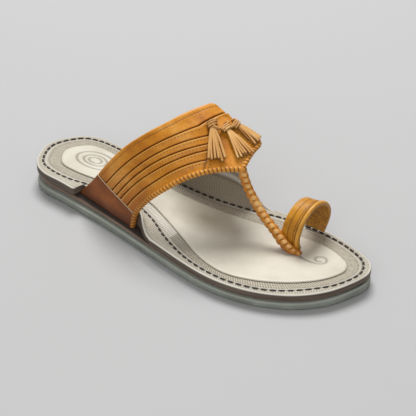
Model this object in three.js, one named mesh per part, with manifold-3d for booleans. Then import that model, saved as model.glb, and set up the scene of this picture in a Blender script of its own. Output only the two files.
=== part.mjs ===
// Kolhapuri sandal, a right shoe. Millimetres. X points to the toe, Y to the wearer's left, which
// is the inner (medial) side, and Z up. The origin is on the floor at mid-length.

import * as THREE from 'three';
import { mergeVertices } from 'three/addons/utils/BufferGeometryUtils.js';
import Module from 'manifold-3d';

const wasm = await Module();
wasm.setup();

// Driving dimensions

const gap = 0.3;                 // clearance between two pieces that touch on the real shoe
const heelTip = { x: -131.7, y: 1.3 };
const toeTip = { x: 130.4, y: 13.3 };
const soleStations = 30;         // stations along each side of a sole layer

// Height above the floor at the heel and at the forefoot; the sole thins between these stations.
const heelStation = -100;
const ballStation = 80;
const outsoleTop = { heel: 6.2, ball: 5.0 };
const midsoleTop = { heel: 12.4, ball: 7.3 };
const topsoleEdge = { heel: 18.5, ball: 11.9 };
const toeSpring = { start: 88, rise: 1.6 };
const heelSpring = { start: -112, rise: 0.5 };
const seamRise = 0.4;            // the topsole is higher at its seam than at its rolled edge
const padThickness = 1.1;

// Outline of the sole: distance of the two edges from the long axis at each station.
const soleOutline = [
  { x: -122, lateral: -20.4, medial: 23.6 },
  { x: -110, lateral: -27.6, medial: 30.2 },
  { x: -90, lateral: -29.6, medial: 30.2 },
  { x: -50, lateral: -34.1, medial: 27.8 },
  { x: 0, lateral: -42.3, medial: 32.1 },
  { x: 48, lateral: -48.6, medial: 38.8 },
  { x: 70, lateral: -46.9, medial: 40.0 },
  { x: 88, lateral: -41.6, medial: 38.3 },
  { x: 106, lateral: -31.4, medial: 33.6 },
  { x: 119, lateral: -18.1, medial: 28.3 },
  { x: 126, lateral: -4.8, medial: 23.6 },
];

// The topsole reaches a little over the layers below. Two slots are cut into its edge for the
// feet of the straps.
const topsoleReach = 1.0;
const earWall = 2.4;
const earFoot = 6.5;             // the ear thickens by this towards its foot

// The slots' inner margins stand up as ears behind the strap: their height over the topsole's
// edge, and how far they turn out from the strap's inner face where the strap has ended.
const lateralEar = [
  { x: -71, height: -3, out: 0 },
  { x: -64, height: 1, out: 0 },
  { x: -56, height: 6, out: 0 },
  { x: -44, height: 10, out: 0 },
  { x: -32, height: 11.5, out: 0 },
  { x: -19.5, height: 8.8, out: 0 },
  { x: -16, height: 7.0, out: 1.0 },
  { x: -12, height: 4.6, out: 3.6 },
  { x: -7, height: 1.0, out: 5.4 },
  { x: -3, height: -1.5, out: 5.4 },
];
const medialEar = [
  { x: -55, height: -3, out: 0 },
  { x: -45, height: 8, out: 0 },
  { x: -34, height: 17, out: 0 },
  { x: -18, height: 25, out: 0 },
  { x: -4, height: 27.4, out: 0 },
  { x: 8, height: 28, out: 0 },
  { x: 17, height: 26.4, out: 0 },
  { x: 22.5, height: 22.0, out: 0.2 },
  { x: 28, height: 12.6, out: 0.8 },
  { x: 34, height: 4.4, out: 2.0 },
  { x: 40, height: 0.4, out: 2.8 },
  { x: 44, height: -2, out: 2.8 },
];

// Seam that runs around the topsole, and outline of the smooth pad inside it.
const seamOutline = [
  { x: -119, lateral: -18.4, medial: 21.2 },
  { x: -108, lateral: -23.4, medial: 26.4 },
  { x: -90, lateral: -24.8, medial: 27.0 },
  { x: -66, lateral: -20.6, medial: 24.0 },
  { x: -35, lateral: -18.6, medial: 20.4 },
  { x: -14, lateral: -24.6, medial: 20.4 },
  { x: 6, lateral: -35.0, medial: 22.0 },
  { x: 29, lateral: -43.4, medial: 26.8 },
  { x: 50, lateral: -46.2, medial: 32.8 },
  { x: 68, lateral: -45.2, medial: 35.4 },
  { x: 87, lateral: -39.6, medial: 34.6 },
  { x: 101, lateral: -30.9, medial: 32.2 },
  { x: 114, lateral: -18.6, medial: 27.4 },
  { x: 122.5, lateral: -7.0, medial: 21.8 },
];
const padOutline = [
  { x: -106, lateral: -12.6, medial: 16.8 },
  { x: -90, lateral: -15.4, medial: 18.8 },
  { x: -60, lateral: -12.6, medial: 14.2 },
  { x: -28, lateral: -11.6, medial: 10.6 },
  { x: -10, lateral: -17.6, medial: 10.2 },
  { x: 12, lateral: -27.0, medial: 11.6 },
  { x: 38, lateral: -38.2, medial: 15.8 },
  { x: 58, lateral: -41.2, medial: 19.6 },
  { x: 78, lateral: -35.6, medial: 22.4 },
  { x: 95, lateral: -25.8, medial: 22.4 },
  { x: 109, lateral: -13.2, medial: 17.8 },
  { x: 115.5, lateral: -3.4, medial: 13.4 },
];
const seamHeel = { x: -128.0, y: 1.3 };
const seamToe = { x: 127.4, y: 10.6 };
const padHeel = { x: -115.4, y: 2 };
const padToe = { x: 118.4, y: 6.2 };

// The instep: a foot's arch section, highest near the inner side, falling towards the toe.
const instepHeight = 88.75;      // crest above the floor at mid-length
const instepFall = 0.53;         // fall of the crest for each millimetre towards the toe
const crestOffset = 21;          // crest from the long axis, to the inner side
const crestDrift = 0.038;
const lateralRoundness = 2.0;
const medialRoundness = 2.74;
const strapFeet = [
  { x: -80, lateral: -25.6, medial: 25.0 },
  { x: -50, lateral: -30.6, medial: 26.4 },
  { x: -22, lateral: -35.0, medial: 28.4 },
  { x: 0, lateral: -40.0, medial: 31.0 },
  { x: 40, lateral: -46.0, medial: 37.0 },
];

// The instep band: its rear and front edge on each line over the arch, from the outer foot at
// turn -1 over the crest at 0 to the inner foot at 1. The front edge comes to a point.
const pointTurn = -0.21;
const bandRear = [
  { turn: -1, x: -77 },
  { turn: -0.9, x: -62.5 },
  { turn: -0.8, x: -51.5 },
  { turn: -0.65, x: -37 },
  { turn: -0.5, x: -23.4 },
  { turn: -0.35, x: -12.6 },
  { turn: -0.2, x: -5.4 },
  { turn: -0.05, x: -0.6 },
  { turn: 0.08, x: 1.6 },
  { turn: 0.2, x: 0.4 },
  { turn: 0.33, x: -5.0 },
  { turn: 0.5, x: -14 },
  { turn: 0.7, x: -25.7 },
  { turn: 0.85, x: -36 },
  { turn: 1, x: -47 },
];
const bandFrontLateral = [
  { turn: -1, x: -22 },
  { turn: -0.9, x: -18 },
  { turn: -0.8, x: -9.5 },
  { turn: -0.65, x: 4.5 },
  { turn: -0.5, x: 16.8 },
  { turn: -0.35, x: 29.5 },
  { turn: pointTurn, x: 42.6 },
];
const bandFrontMedial = [
  { turn: pointTurn, x: 42.6 },
  { turn: -0.07, x: 39.4 },
  { turn: 0.1, x: 37.0 },
  { turn: 0.3, x: 32 },
  { turn: 0.5, x: 24.8 },
  { turn: 0.7, x: 15 },
  { turn: 0.85, x: 4.5 },
  { turn: 1, x: -3.5 },
];
const strapWall = 2.6;
const bandSteps = 36;            // steps over the arch
const pleats = [0.24, 0.40, 0.52, 0.63, 0.79];   // share of the band's width, from its rear edge
const pleatWidth = 1.1;
const pleatDepth = 0.75;
const pleatStep = 0.45;          // each pleat stands this much over the groove in front of it
const rimWidth = 3.0;            // folded binding of the front edge
const rimRise = 0.6;
// The triangle under the tassels stays plain: the pleats stop at its two sides.
const patch = { rearTurnLateral: -0.12, frontTurnLateral: -0.34, rearTurnMedial: -0.02, frontTurnMedial: 0.1 };
const patchRise = 0.35;

// Tabs: panels over the two feet of the band, up to a slanted line.
const tabThickness = 1.2;
const tabTop = { lateralRear: -0.857, lateralFront: -0.915, medialRear: 0.905, medialFront: 0.92 };

// Thong: a round braided cord from the point of the band to the sole, flattened at its foot.
const thongRoute = [
  { x: 37.4, y: 2.4, z: 64.2, width: 5.4, height: 3.4 },
  { x: 39.9, y: 2.8, z: 60.6, width: 6.0, height: 4.8 },
  { x: 41.4, y: 3.0, z: 55.6, width: 6.0, height: 5.4 },
  { x: 44.8, y: 3.0, z: 48.4, width: 6.0, height: 5.4 },
  { x: 50.0, y: 2.9, z: 41.2, width: 6.0, height: 5.4 },
  { x: 56.6, y: 2.7, z: 33.8, width: 6.2, height: 5.4 },
  { x: 67.0, y: 2.5, z: 25.2, width: 6.6, height: 5.2 },
  { x: 74.4, y: 2.6, z: 18.6, width: 7.6, height: 4.4 },
  { x: 79.8, y: 3.0, z: 15.9, width: 8.0, height: 3.0 },
  { x: 85.6, y: 3.4, z: 15.3, width: 4.6, height: 1.8 },
];
const thongSides = 10;

// Toe ring: a loop for the big toe, standing across the sole beside the foot of the thong.
const toeRing = { rearX: 69.5, frontX: 83.5, lean: 0.1, wall: 2.1, ribWidth: 2.2, ribRise: 0.7 };
const toeRingSection = [
  { y: 6.8, z: 14.3 },
  { y: 3.8, z: 20.4 },
  { y: 3.4, z: 27.2 },
  { y: 6.2, z: 34.6 },
  { y: 12.0, z: 40.2 },
  { y: 20.0, z: 42.8 },
  { y: 28.4, z: 41.2 },
  { y: 35.4, z: 36.2 },
  { y: 39.6, z: 29.4 },
  { y: 40.2, z: 22.8 },
  { y: 37.4, z: 16.0 },
  { y: 35.6, z: 13.2 },
];
const toeRingSteps = 24;

// Tassels: where each one's knot and the two sides of its skirt lie on the band.
const tassels = [
  { name: 'tassel_outer', hole: [12, -0.06], knot: [13.5, -0.1], left: [21, -0.33], right: [35.5, -0.27], lift: 1.4 },
  { name: 'tassel_middle', hole: [16, -0.05], knot: [20.5, -0.04], left: [38, -0.19], right: [41.5, -0.1], lift: 1.6 },
  { name: 'tassel_inner', hole: [13, -0.02], knot: [16.5, 0.015], left: [39.5, -0.035], right: [35, 0.13], lift: 1.6 },
];
const tasselStrips = 6;
const stripWidth = 1.9;
const stripThickness = 1.1;
const knotRadius = 2.3;

// Colours, sRGB

const colours = {
  outsole: 0x7d8273,
  midsole: 0x8b7363,
  topsole: 0xc9c3b4,
  insole: 0xd8d4c6,
  upper: 0xc07a24,
  tab: 0x94572a,
  tassel: 0xd09a58,
};

// Small maths

const clamp01 = (v) => Math.min(1, Math.max(0, v));
const mix = (a, b, t) => a + (b - a) * t;
const ease = (v) => {
  const t = clamp01(v);
  return t * t * (3 - 2 * t);
};

// Value of a table's column at a station, on a smooth curve through its rows.
function lookUp(rows, at, key, column) {
  const last = rows.length - 1;
  if (at <= rows[0][key]) return rows[0][column];
  if (at >= rows[last][key]) return rows[last][column];
  let i = 0;
  while (at > rows[i + 1][key]) i += 1;
  const slope = (k) => {
    const a = rows[Math.max(0, k - 1)];
    const b = rows[Math.min(last, k + 1)];
    return (b[column] - a[column]) / (b[key] - a[key]);
  };
  const span = rows[i + 1][key] - rows[i][key];
  const t = (at - rows[i][key]) / span;
  const h00 = (1 + 2 * t) * (1 - t) * (1 - t);
  const h10 = t * (1 - t) * (1 - t);
  const h01 = t * t * (3 - 2 * t);
  const h11 = t * t * (t - 1);
  return h00 * rows[i][column] + h10 * span * slope(i)
    + h01 * rows[i + 1][column] + h11 * span * slope(i + 1);
}

// Outline of one sole layer as pairs of points, one on each side at each station. The stations
// crowd together at the round ends.
function layerOutline(rows, heel, toe, inset = 0) {
  const points = [new THREE.Vector3(heel.x, heel.y, 0)];
  rows.forEach((r) => points.push(new THREE.Vector3(r.x, r.medial, 0)));
  points.push(new THREE.Vector3(toe.x, toe.y, 0));
  [...rows].reverse().forEach((r) => points.push(new THREE.Vector3(r.x, r.lateral, 0)));
  const fine = new THREE.CatmullRomCurve3(points, true, 'centripetal').getPoints(600);
  fine.pop();
  const count = fine.length;
  const moved = fine.map((p, i) => {
    const along = fine[(i + 1) % count].clone().sub(fine[(i + count - 1) % count]).normalize();
    return { x: p.x + along.y * inset, y: p.y - along.x * inset };
  });
  let heelIndex = 0;
  let toeIndex = 0;
  moved.forEach((p, i) => {
    if (p.x < moved[heelIndex].x) heelIndex = i;
    if (p.x > moved[toeIndex].x) toeIndex = i;
  });
  const walk = (from, to, step) => {
    const side = [];
    for (let i = from; i !== to; i = (i + step + count) % count) side.push(moved[i]);
    side.push(moved[to]);
    return side;
  };
  const yAt = (side, x) => {
    for (let i = 1; i < side.length; i += 1) {
      const a = side[i - 1];
      const b = side[i];
      if (x <= b.x) return a.y + (b.y - a.y) * clamp01((x - a.x) / Math.max(1e-6, b.x - a.x));
    }
    return side[side.length - 1].y;
  };
  const medial = walk(heelIndex, toeIndex, 1);
  const lateral = walk(heelIndex, toeIndex, -1);
  const first = moved[heelIndex];
  const lastPoint = moved[toeIndex];
  const ring = { heel: first, toe: lastPoint, medial: [], lateral: [] };
  for (let i = 1; i < soleStations; i += 1) {
    const x = mix(first.x, lastPoint.x, (1 - Math.cos(Math.PI * i / soleStations)) / 2);
    ring.medial.push({ x, y: yAt(medial, x) });
    ring.lateral.push({ x, y: yAt(lateral, x) });
  }
  return ring;
}

// The ring's points in order around the shoe, each with its side.
function around(ring) {
  return [
    { ...ring.heel, side: 'medial' },
    ...ring.medial.map((p) => ({ ...p, side: 'medial' })),
    { ...ring.toe, side: 'medial' },
    ...[...ring.lateral].reverse().map((p) => ({ ...p, side: 'lateral' })),
  ];
}

function meshData() {
  const positions = [];
  const faces = [];
  return {
    positions,
    faces,
    point(x, y, z) {
      positions.push(x, y, z);
      return positions.length / 3 - 1;
    },
    quad(a, b, c, d) {
      faces.push(a, b, c, a, c, d);
    },
    geometry() {
      const g = new THREE.BufferGeometry();
      g.setAttribute('position', new THREE.Float32BufferAttribute(positions, 3));
      g.setIndex(faces);
      return g;
    },
  };
}

// Closed solid from rings that run from the underside's cap, around the edge, to the top's cap.
function layerSolid(rings) {
  const data = meshData();
  const indices = rings.map((ring) => ring.map((p) => data.point(p.x, p.y, p.z)));
  const count = rings[0].length;
  for (let k = 0; k + 1 < rings.length; k += 1) {
    for (let i = 0; i < count; i += 1) {
      const j = (i + 1) % count;
      data.quad(indices[k][i], indices[k + 1][i], indices[k + 1][j], indices[k][j]);
    }
  }
  const cap = (ring, up) => {
    const put = (a, b, c) => data.faces.push(...(up ? [a, b, c] : [a, c, b]));
    for (let i = 0; i < count / 2; i += 1) {
      const m0 = ring[i];
      const m1 = ring[i + 1];
      const l0 = ring[(count - i) % count];
      const l1 = ring[count - i - 1];
      if (m0 !== l0) put(l0, m1, m0);
      if (m1 !== l1) put(l0, l1, m1);
    }
  };
  cap(indices[0], false);
  cap(indices[rings.length - 1], true);
  return data.geometry();
}

// Heights

const along = (x) => ease((x - heelStation) / (ballStation - heelStation));
const level = (heights, x) => mix(heights.heel, heights.ball, along(x)) + spring(x);
function spring(x) {
  const toe = Math.max(0, (x - toeSpring.start) / (toeTip.x - toeSpring.start));
  const heel = Math.max(0, (heelSpring.start - x) / (heelSpring.start - heelTip.x));
  return toeSpring.rise * toe * toe + heelSpring.rise * heel * heel;
}
const seamLevel = (x) => level(topsoleEdge, x) + seamRise;

// Sole layers

function makeOutsole() {
  const profile = [
    { inset: 2.2, share: 0 },
    { inset: 1.0, share: 0.08 },
    { inset: 0.2, share: 0.34 },
    { inset: 0, share: 0.6 },
    { inset: 0.1, share: 0.86 },
    { inset: 1.0, share: 1 },
  ];
  return layerSolid(profile.map(({ inset, share }) => around(layerOutline(soleOutline, heelTip, toeTip, inset))
    .map((p) => ({ ...p, z: mix(spring(p.x), level(outsoleTop, p.x), share) }))));
}

// A leather layer set back from the edge, with one ridge between two grooves.
function makeMidsole() {
  const profile = [
    { inset: 3.0, share: 0 },
    { inset: 3.0, share: 0.16 },
    { inset: 0.9, share: 0.36 },
    { inset: 0.9, share: 0.64 },
    { inset: 3.0, share: 0.84 },
    { inset: 3.0, share: 1 },
  ];
  return layerSolid(profile.map(({ inset, share }) => around(layerOutline(soleOutline, heelTip, toeTip, inset))
    .map((p) => ({ ...p, z: mix(level(outsoleTop, p.x) + gap, level(midsoleTop, p.x), share) }))));
}

// A rolled edge and a slope up to the seam.
function makeTopsoleBoard() {
  const edge = around(layerOutline(soleOutline, heelTip, toeTip, -topsoleReach));
  const seam = around(layerOutline(seamOutline, seamHeel, seamToe));
  const low = (x) => level(midsoleTop, x) + gap;
  const ring = (inset, share, over) => edge.map((p, i) => {
    const t = inset / Math.hypot(seam[i].x - p.x, seam[i].y - p.y);
    const z = mix(low(p.x), level(topsoleEdge, p.x), share) + over;
    return { x: mix(p.x, seam[i].x, t), y: mix(p.y, seam[i].y, t), z };
  });
  return layerSolid([
    ring(2.6, 0, 0),
    ring(1.0, 0, 0),
    ring(0, 0.35, 0),
    ring(0, 0.74, 0),
    ring(0.4, 1, -0.6),
    ring(1.3, 1, 0),
    seam.map((s) => ({ ...s, z: seamLevel(s.x) })),
  ]);
}

// Space taken out of the topsole by one foot of the strap, on the strap's own surface.
function strapSlot(side) {
  const outward = 14;
  const below = 3;
  const flare = side === 'lateral' ? 29 : 55;
  const turns = [1, 1, 0.94, 0.86, 0.78].map((t) => (side === 'lateral' ? -t : t));
  const columns = [-0.012, 0.25, 0.5, 0.75, 1.012];
  const face = (height) => (place, share) => {
    const turn = turns[place];
    const p = overInstep(bandPlace(turn, share), turn, height);
    if (place === 0) p.z -= below;
    if (share > 1 && height > 0) p.x += flare;
    return p;
  };
  return archSolid([0, 1, 2, 3, 4], columns, face(outward), face(-strapWall - gap));
}

// A wall that stands on the topsole behind the strap, along the strap's inner face.
function makeEar(side) {
  const rows = side === 'lateral' ? lateralEar : medialEar;
  const steps = 17;
  const sign = side === 'lateral' ? -1 : 1;
  const columns = [...Array(steps + 1).keys()].map((k) => mix(rows[0].x, rows[rows.length - 1].x, k / steps));
  const face = (sink) => (share, x) => {
    const floor = level(midsoleTop, x) + gap;
    const foot = floor + 0.6;
    const top = Math.max(foot + 0.6, level(topsoleEdge, x) + lookUp(rows, x, 'x', 'height'));
    const z = mix(foot, top, share);
    const round = side === 'lateral' ? lateralRoundness : medialRoundness;
    const up = (z - floor) / (instepHeight - instepFall * x - floor);
    const turn = sign * Math.acos(up ** (round / 2)) * 2 / Math.PI;
    const p = overInstep(x, turn, -strapWall - gap - sink(share));
    p.y += sign * lookUp(rows, x, 'x', 'out') * mix(0.8, 1, share);
    return p;
  };
  const outer = face((share) => (share === 1 ? 0.6 : 0));
  const inner = face((share) => (share === 1 ? earWall - 0.6 : earWall + earFoot * (1 - share) ** 2.5));
  return archSolid([0, 0.18, 0.4, 0.65, 0.93, 1], columns, outer, inner);
}

function makeTopsole() {
  const cut = ['lateral', 'medial'].reduce((body, side) => body.subtract(toSolid(strapSlot(side))),
    toSolid(makeTopsoleBoard()));
  const ears = [toSolid(makeEar('lateral')), toSolid(makeEar('medial'))];
  return toGeometry(ears.reduce((body, ear) => body.add(ear), cut));
}

// The smooth raised pad under the foot, softly rounded at its edge.
function makeInsole() {
  const profile = [
    { inset: 0.5, rise: 0 },
    { inset: 0, rise: 0.4 },
    { inset: 0.3, rise: 0.85 },
    { inset: 1.4, rise: padThickness },
  ];
  return layerSolid(profile.map(({ inset, rise }) => around(layerOutline(padOutline, padHeel, padToe, inset))
    .map((p) => ({ ...p, z: seamLevel(p.x) + gap + rise }))));
}

// Upper

// Point of the foot's instep at a station and a turn over the arch.
function instep(x, turn) {
  const crest = instepHeight - instepFall * x;
  const low = level(midsoleTop, x) + gap;
  const crestY = crestOffset + crestDrift * x;
  const round = turn < 0 ? lateralRoundness : medialRoundness;
  const foot = lookUp(strapFeet, x, 'x', turn < 0 ? 'lateral' : 'medial');
  const angle = Math.min(1, Math.abs(turn)) * Math.PI / 2;
  const out = Math.sin(angle) ** (2 / round);
  const up = Math.max(0, Math.cos(angle)) ** (2 / round);
  return new THREE.Vector3(x, mix(crestY, foot, out), mix(low, crest, up));
}

function instepNormal(x, turn) {
  const d = 0.004;
  const a = Math.max(-0.996, Math.min(0.996, turn));
  const overArch = instep(x, a + d).sub(instep(x, a - d));
  const alongFoot = instep(x + 0.5, a).sub(instep(x - 0.5, a));
  return alongFoot.cross(overArch).normalize();
}

// Point at a height over the instep surface.
const overInstep = (x, turn, height) => instep(x, turn).addScaledVector(instepNormal(x, turn), height);

const rearEdge = (turn) => lookUp(bandRear, turn, 'turn', 'x');
const frontEdge = (turn) => lookUp(turn < pointTurn ? bandFrontLateral : bandFrontMedial, turn, 'turn', 'x');

// Where a place over the arch lies for a share of the band's width: the tabs' top lines are
// lines of this grid.
function bandTurn(place, share) {
  const lateral = mix(tabTop.lateralRear, tabTop.lateralFront, share);
  const medial = mix(tabTop.medialRear, tabTop.medialFront, share);
  if (place < 0) return mix(-1, lateral, place + 1);
  if (place > 1) return mix(medial, 1, place - 1);
  return mix(lateral, medial, place);
}

// Height of the band's outer face over the instep: pleats, patch and rim.
function bandRelief(share, turn, width) {
  const front = (1 - share) * width;
  if (front < 0.4) return 0.1;
  if (front < rimWidth) return rimRise;
  if (front < rimWidth + 0.8) return -0.2;
  const lateralSide = mix(patch.rearTurnLateral, patch.frontTurnLateral, (share - 0.2) / 0.6);
  const medialSide = mix(patch.rearTurnMedial, patch.frontTurnMedial, (share - 0.2) / 0.6);
  if (turn > lateralSide && turn < medialSide) return share > 0.2 ? patchRise : 0;
  let rise = 0;
  pleats.forEach((at, i) => {
    const before = (share - at) * width;
    if (Math.abs(before) < pleatWidth * 0.5) rise = -pleatDepth;
    else if (i + 1 < pleats.length && share > at && share < pleats[i + 1]) {
      rise = pleatStep * (1 - (share - at) / (pleats[i + 1] - at));
    }
  });
  return rise;
}

// Shares of the width that carry the relief's corners.
function bandShares(width) {
  const half = pleatWidth * 0.5 / width;
  const shares = [0, 0.02];
  pleats.forEach((at) => shares.push(at - half * 1.02, at - half * 0.5, at + half * 0.5, at + half * 1.02));
  const rim = rimWidth / width;
  const step = 0.5 / width;
  shares.push(1 - rim - 2 * step, 1 - rim - step * 0.5, 1 - rim * 0.98, 1 - rim * 0.5, 1 - 0.8 * step, 1);
  return shares;
}

// A strip of the arch between an outer and an inner face, as a closed solid.
function archSolid(places, columns, outer, inner) {
  const data = meshData();
  const outside = places.map((place) => columns.map((c) => data.point(...outer(place, c).toArray())));
  const inside = places.map((place) => columns.map((c) => data.point(...inner(place, c).toArray())));
  const rows = places.length - 1;
  const across = columns.length - 1;
  for (let i = 0; i < rows; i += 1) {
    for (let j = 0; j < across; j += 1) {
      data.quad(outside[i][j], outside[i][j + 1], outside[i + 1][j + 1], outside[i + 1][j]);
      data.quad(inside[i][j], inside[i + 1][j], inside[i + 1][j + 1], inside[i][j + 1]);
    }
    data.quad(outside[i][0], outside[i + 1][0], inside[i + 1][0], inside[i][0]);
    data.quad(outside[i][across], inside[i][across], inside[i + 1][across], outside[i + 1][across]);
  }
  for (let j = 0; j < across; j += 1) {
    data.quad(outside[0][j], inside[0][j], inside[0][j + 1], outside[0][j + 1]);
    data.quad(outside[rows][j], outside[rows][j + 1], inside[rows][j + 1], inside[rows][j]);
  }
  return data.geometry();
}

const bandPlace = (turn, share) => mix(rearEdge(turn), frontEdge(turn), share);

function makeBand() {
  const places = [-1, -0.5, -0.03, 0.002];
  for (let i = 1; i < bandSteps; i += 1) places.push(i / bandSteps);
  places.push(0.998, 1.03, 1.5, 2);
  const recess = tabThickness + gap;
  const shareCount = bandShares(50).length;
  const columns = [...Array(shareCount).keys()];
  const spot = (place, column) => {
    const guess = bandTurn(place, column / (shareCount - 1));
    const width = Math.abs(frontEdge(guess) - rearEdge(guess));
    const share = bandShares(width)[column];
    const turn = bandTurn(place, share);
    return { share, turn, width, x: bandPlace(turn, share) };
  };
  const outer = (place, column) => {
    const { share, turn, width, x } = spot(place, column);
    const covered = place < 0 || place > 1;
    return overInstep(x, turn, covered ? -recess : bandRelief(share, turn, width));
  };
  const inner = (place, column) => {
    const { turn, x } = spot(place, column);
    return overInstep(x, turn, -strapWall);
  };
  return archSolid(places, columns, outer, inner);
}

function makeTab(side) {
  const places = side === 'lateral' ? [-1, -0.66, -0.33, -0.05] : [1.05, 1.33, 1.66, 2];
  const columns = [0, 0.08, 0.3, 0.5, 0.7, 0.92, 1];
  const spot = (place, share) => {
    const turn = bandTurn(place, share);
    return { turn, x: bandPlace(turn, share) };
  };
  const face = (height) => (place, share) => {
    const { turn, x } = spot(place, share);
    return overInstep(x, turn, height);
  };
  return archSolid(places, columns, face(0.12), face(0.12 - tabThickness));
}

// Sweep of an oval section along a route of rows with a width and a height.
function ovalSweep(rows, steps, sides) {
  const curve = new THREE.CatmullRomCurve3(rows.map((r) => new THREE.Vector3(r.x, r.y, r.z)));
  const data = meshData();
  const rings = [];
  for (let k = 0; k <= steps; k += 1) {
    const t = k / steps;
    const at = t * (rows.length - 1);
    const i = Math.min(rows.length - 2, Math.floor(at));
    const width = mix(rows[i].width, rows[i + 1].width, at - i) / 2;
    const height = mix(rows[i].height, rows[i + 1].height, at - i) / 2;
    const centre = curve.getPoint(t);
    const ahead = curve.getTangent(t);
    const sideways = new THREE.Vector3(0, 1, 0).addScaledVector(ahead, -ahead.y).normalize();
    const upward = ahead.clone().cross(sideways).normalize().multiplyScalar(-1);
    rings.push([...Array(sides).keys()].map((s) => {
      const a = 2 * Math.PI * s / sides;
      const p = centre.clone().addScaledVector(sideways, width * Math.cos(a))
        .addScaledVector(upward, height * Math.sin(a));
      return data.point(p.x, p.y, p.z);
    }));
  }
  for (let k = 0; k < steps; k += 1) {
    for (let s = 0; s < sides; s += 1) {
      const n = (s + 1) % sides;
      data.quad(rings[k][s], rings[k][n], rings[k + 1][n], rings[k + 1][s]);
    }
  }
  for (let s = 1; s + 1 < sides; s += 1) {
    data.faces.push(rings[0][0], rings[0][s + 1], rings[0][s]);
    data.faces.push(rings[steps][0], rings[steps][s], rings[steps][s + 1]);
  }
  return data.geometry();
}

const makeThong = () => ovalSweep(thongRoute, 17, thongSides);

// The loop's section is drawn once and carried from its rear edge to its ribbed front edge.
function makeToeRing() {
  const curve = new THREE.CatmullRomCurve3(toeRingSection.map((r) => new THREE.Vector3(0, r.y, r.z)));
  const { rearX, frontX, lean, wall, ribWidth, ribRise } = toeRing;
  const columns = [
    { x: rearX, rise: -0.35 },
    { x: rearX + 1.0, rise: 0 },
    { x: frontX - ribWidth - 0.9, rise: 0 },
    { x: frontX - ribWidth - 0.4, rise: -0.35 },
    { x: frontX - ribWidth, rise: ribRise },
    { x: frontX - 0.5, rise: ribRise },
    { x: frontX, rise: 0.1 },
  ];
  const places = [...Array(toeRingSteps + 1).keys()].map((k) => k / toeRingSteps);
  const face = (sink) => (t, c) => {
    const p = curve.getPoint(t);
    const ahead = curve.getTangent(t);
    const outward = new THREE.Vector3(0, -ahead.z, ahead.y);
    const rise = sink ? -wall : c.rise;
    const taper = 1 - 0.05 * (c.x < (rearX + frontX) / 2 ? 1 : 0);
    const mid = new THREE.Vector3(0, 22, 22);
    p.sub(mid).multiplyScalar(taper).add(mid).addScaledVector(outward, rise);
    return new THREE.Vector3(c.x + lean * (p.z - 14), p.y, p.z);
  };
  return archSolid(places, columns, face(false), face(true));
}

// Joining

// Turns a closed surface's faces outward.
function facingOut(geometry) {
  const solidVolume = (g) => {
    const p = g.attributes.position;
    const v = (i) => new THREE.Vector3().fromBufferAttribute(p, g.index.array[i]);
    let sum = 0;
    for (let i = 0; i < g.index.count; i += 3) sum += v(i).dot(v(i + 1).cross(v(i + 2)));
    return sum;
  };
  if (solidVolume(geometry) < 0) {
    const a = geometry.index.array;
    for (let i = 0; i < a.length; i += 3) [a[i], a[i + 1]] = [a[i + 1], a[i]];
  }
  return geometry;
}

function toSolid(geometry) {
  const bare = facingOut(geometry.clone());
  bare.deleteAttribute('normal');
  bare.deleteAttribute('uv');
  const merged = mergeVertices(bare, 1e-4);
  return new wasm.Manifold(new wasm.Mesh({
    numProp: 3,
    vertProperties: new Float32Array(merged.attributes.position.array),
    triVerts: new Uint32Array(merged.index.array),
  }));
}

function toGeometry(solid) {
  const mesh = solid.getMesh();
  const g = new THREE.BufferGeometry();
  g.setAttribute('position', new THREE.Float32BufferAttribute(mesh.vertProperties, 3));
  g.setIndex([...mesh.triVerts]);
  return g;
}

const fuse = (geometries) => toGeometry(geometries.map(toSolid).reduce((a, b) => a.add(b)));

// The straps in one solid: the band, the thong from its point and the toe ring at the thong's foot.
const makeUpper = () => fuse([makeBand(), makeThong(), makeToeRing()]);

// Tassels

// A flat thin strip over the instep along a route of [station, turn, height].
function instepStrip(route, width, thickness) {
  const data = meshData();
  const points = route.map(([x, turn, height]) => overInstep(x, turn, height));
  const normals = route.map(([x, turn]) => instepNormal(x, turn));
  const rings = points.map((p, k) => {
    const before = points[Math.max(0, k - 1)];
    const after = points[Math.min(points.length - 1, k + 1)];
    const sideways = after.clone().sub(before).cross(normals[k]).normalize();
    const corner = (s, h) => p.clone().addScaledVector(sideways, s * width / 2)
      .addScaledVector(normals[k], h * thickness / 2);
    return [corner(-1, -1), corner(1, -1), corner(1, 1), corner(-1, 1)]
      .map((q) => data.point(q.x, q.y, q.z));
  });
  const last = rings.length - 1;
  for (let k = 0; k < last; k += 1) {
    for (let s = 0; s < 4; s += 1) {
      const n = (s + 1) % 4;
      data.quad(rings[k][s], rings[k][n], rings[k + 1][n], rings[k + 1][s]);
    }
  }
  data.quad(rings[0][3], rings[0][2], rings[0][1], rings[0][0]);
  data.quad(rings[last][0], rings[last][1], rings[last][2], rings[last][3]);
  return data.geometry();
}

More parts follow.
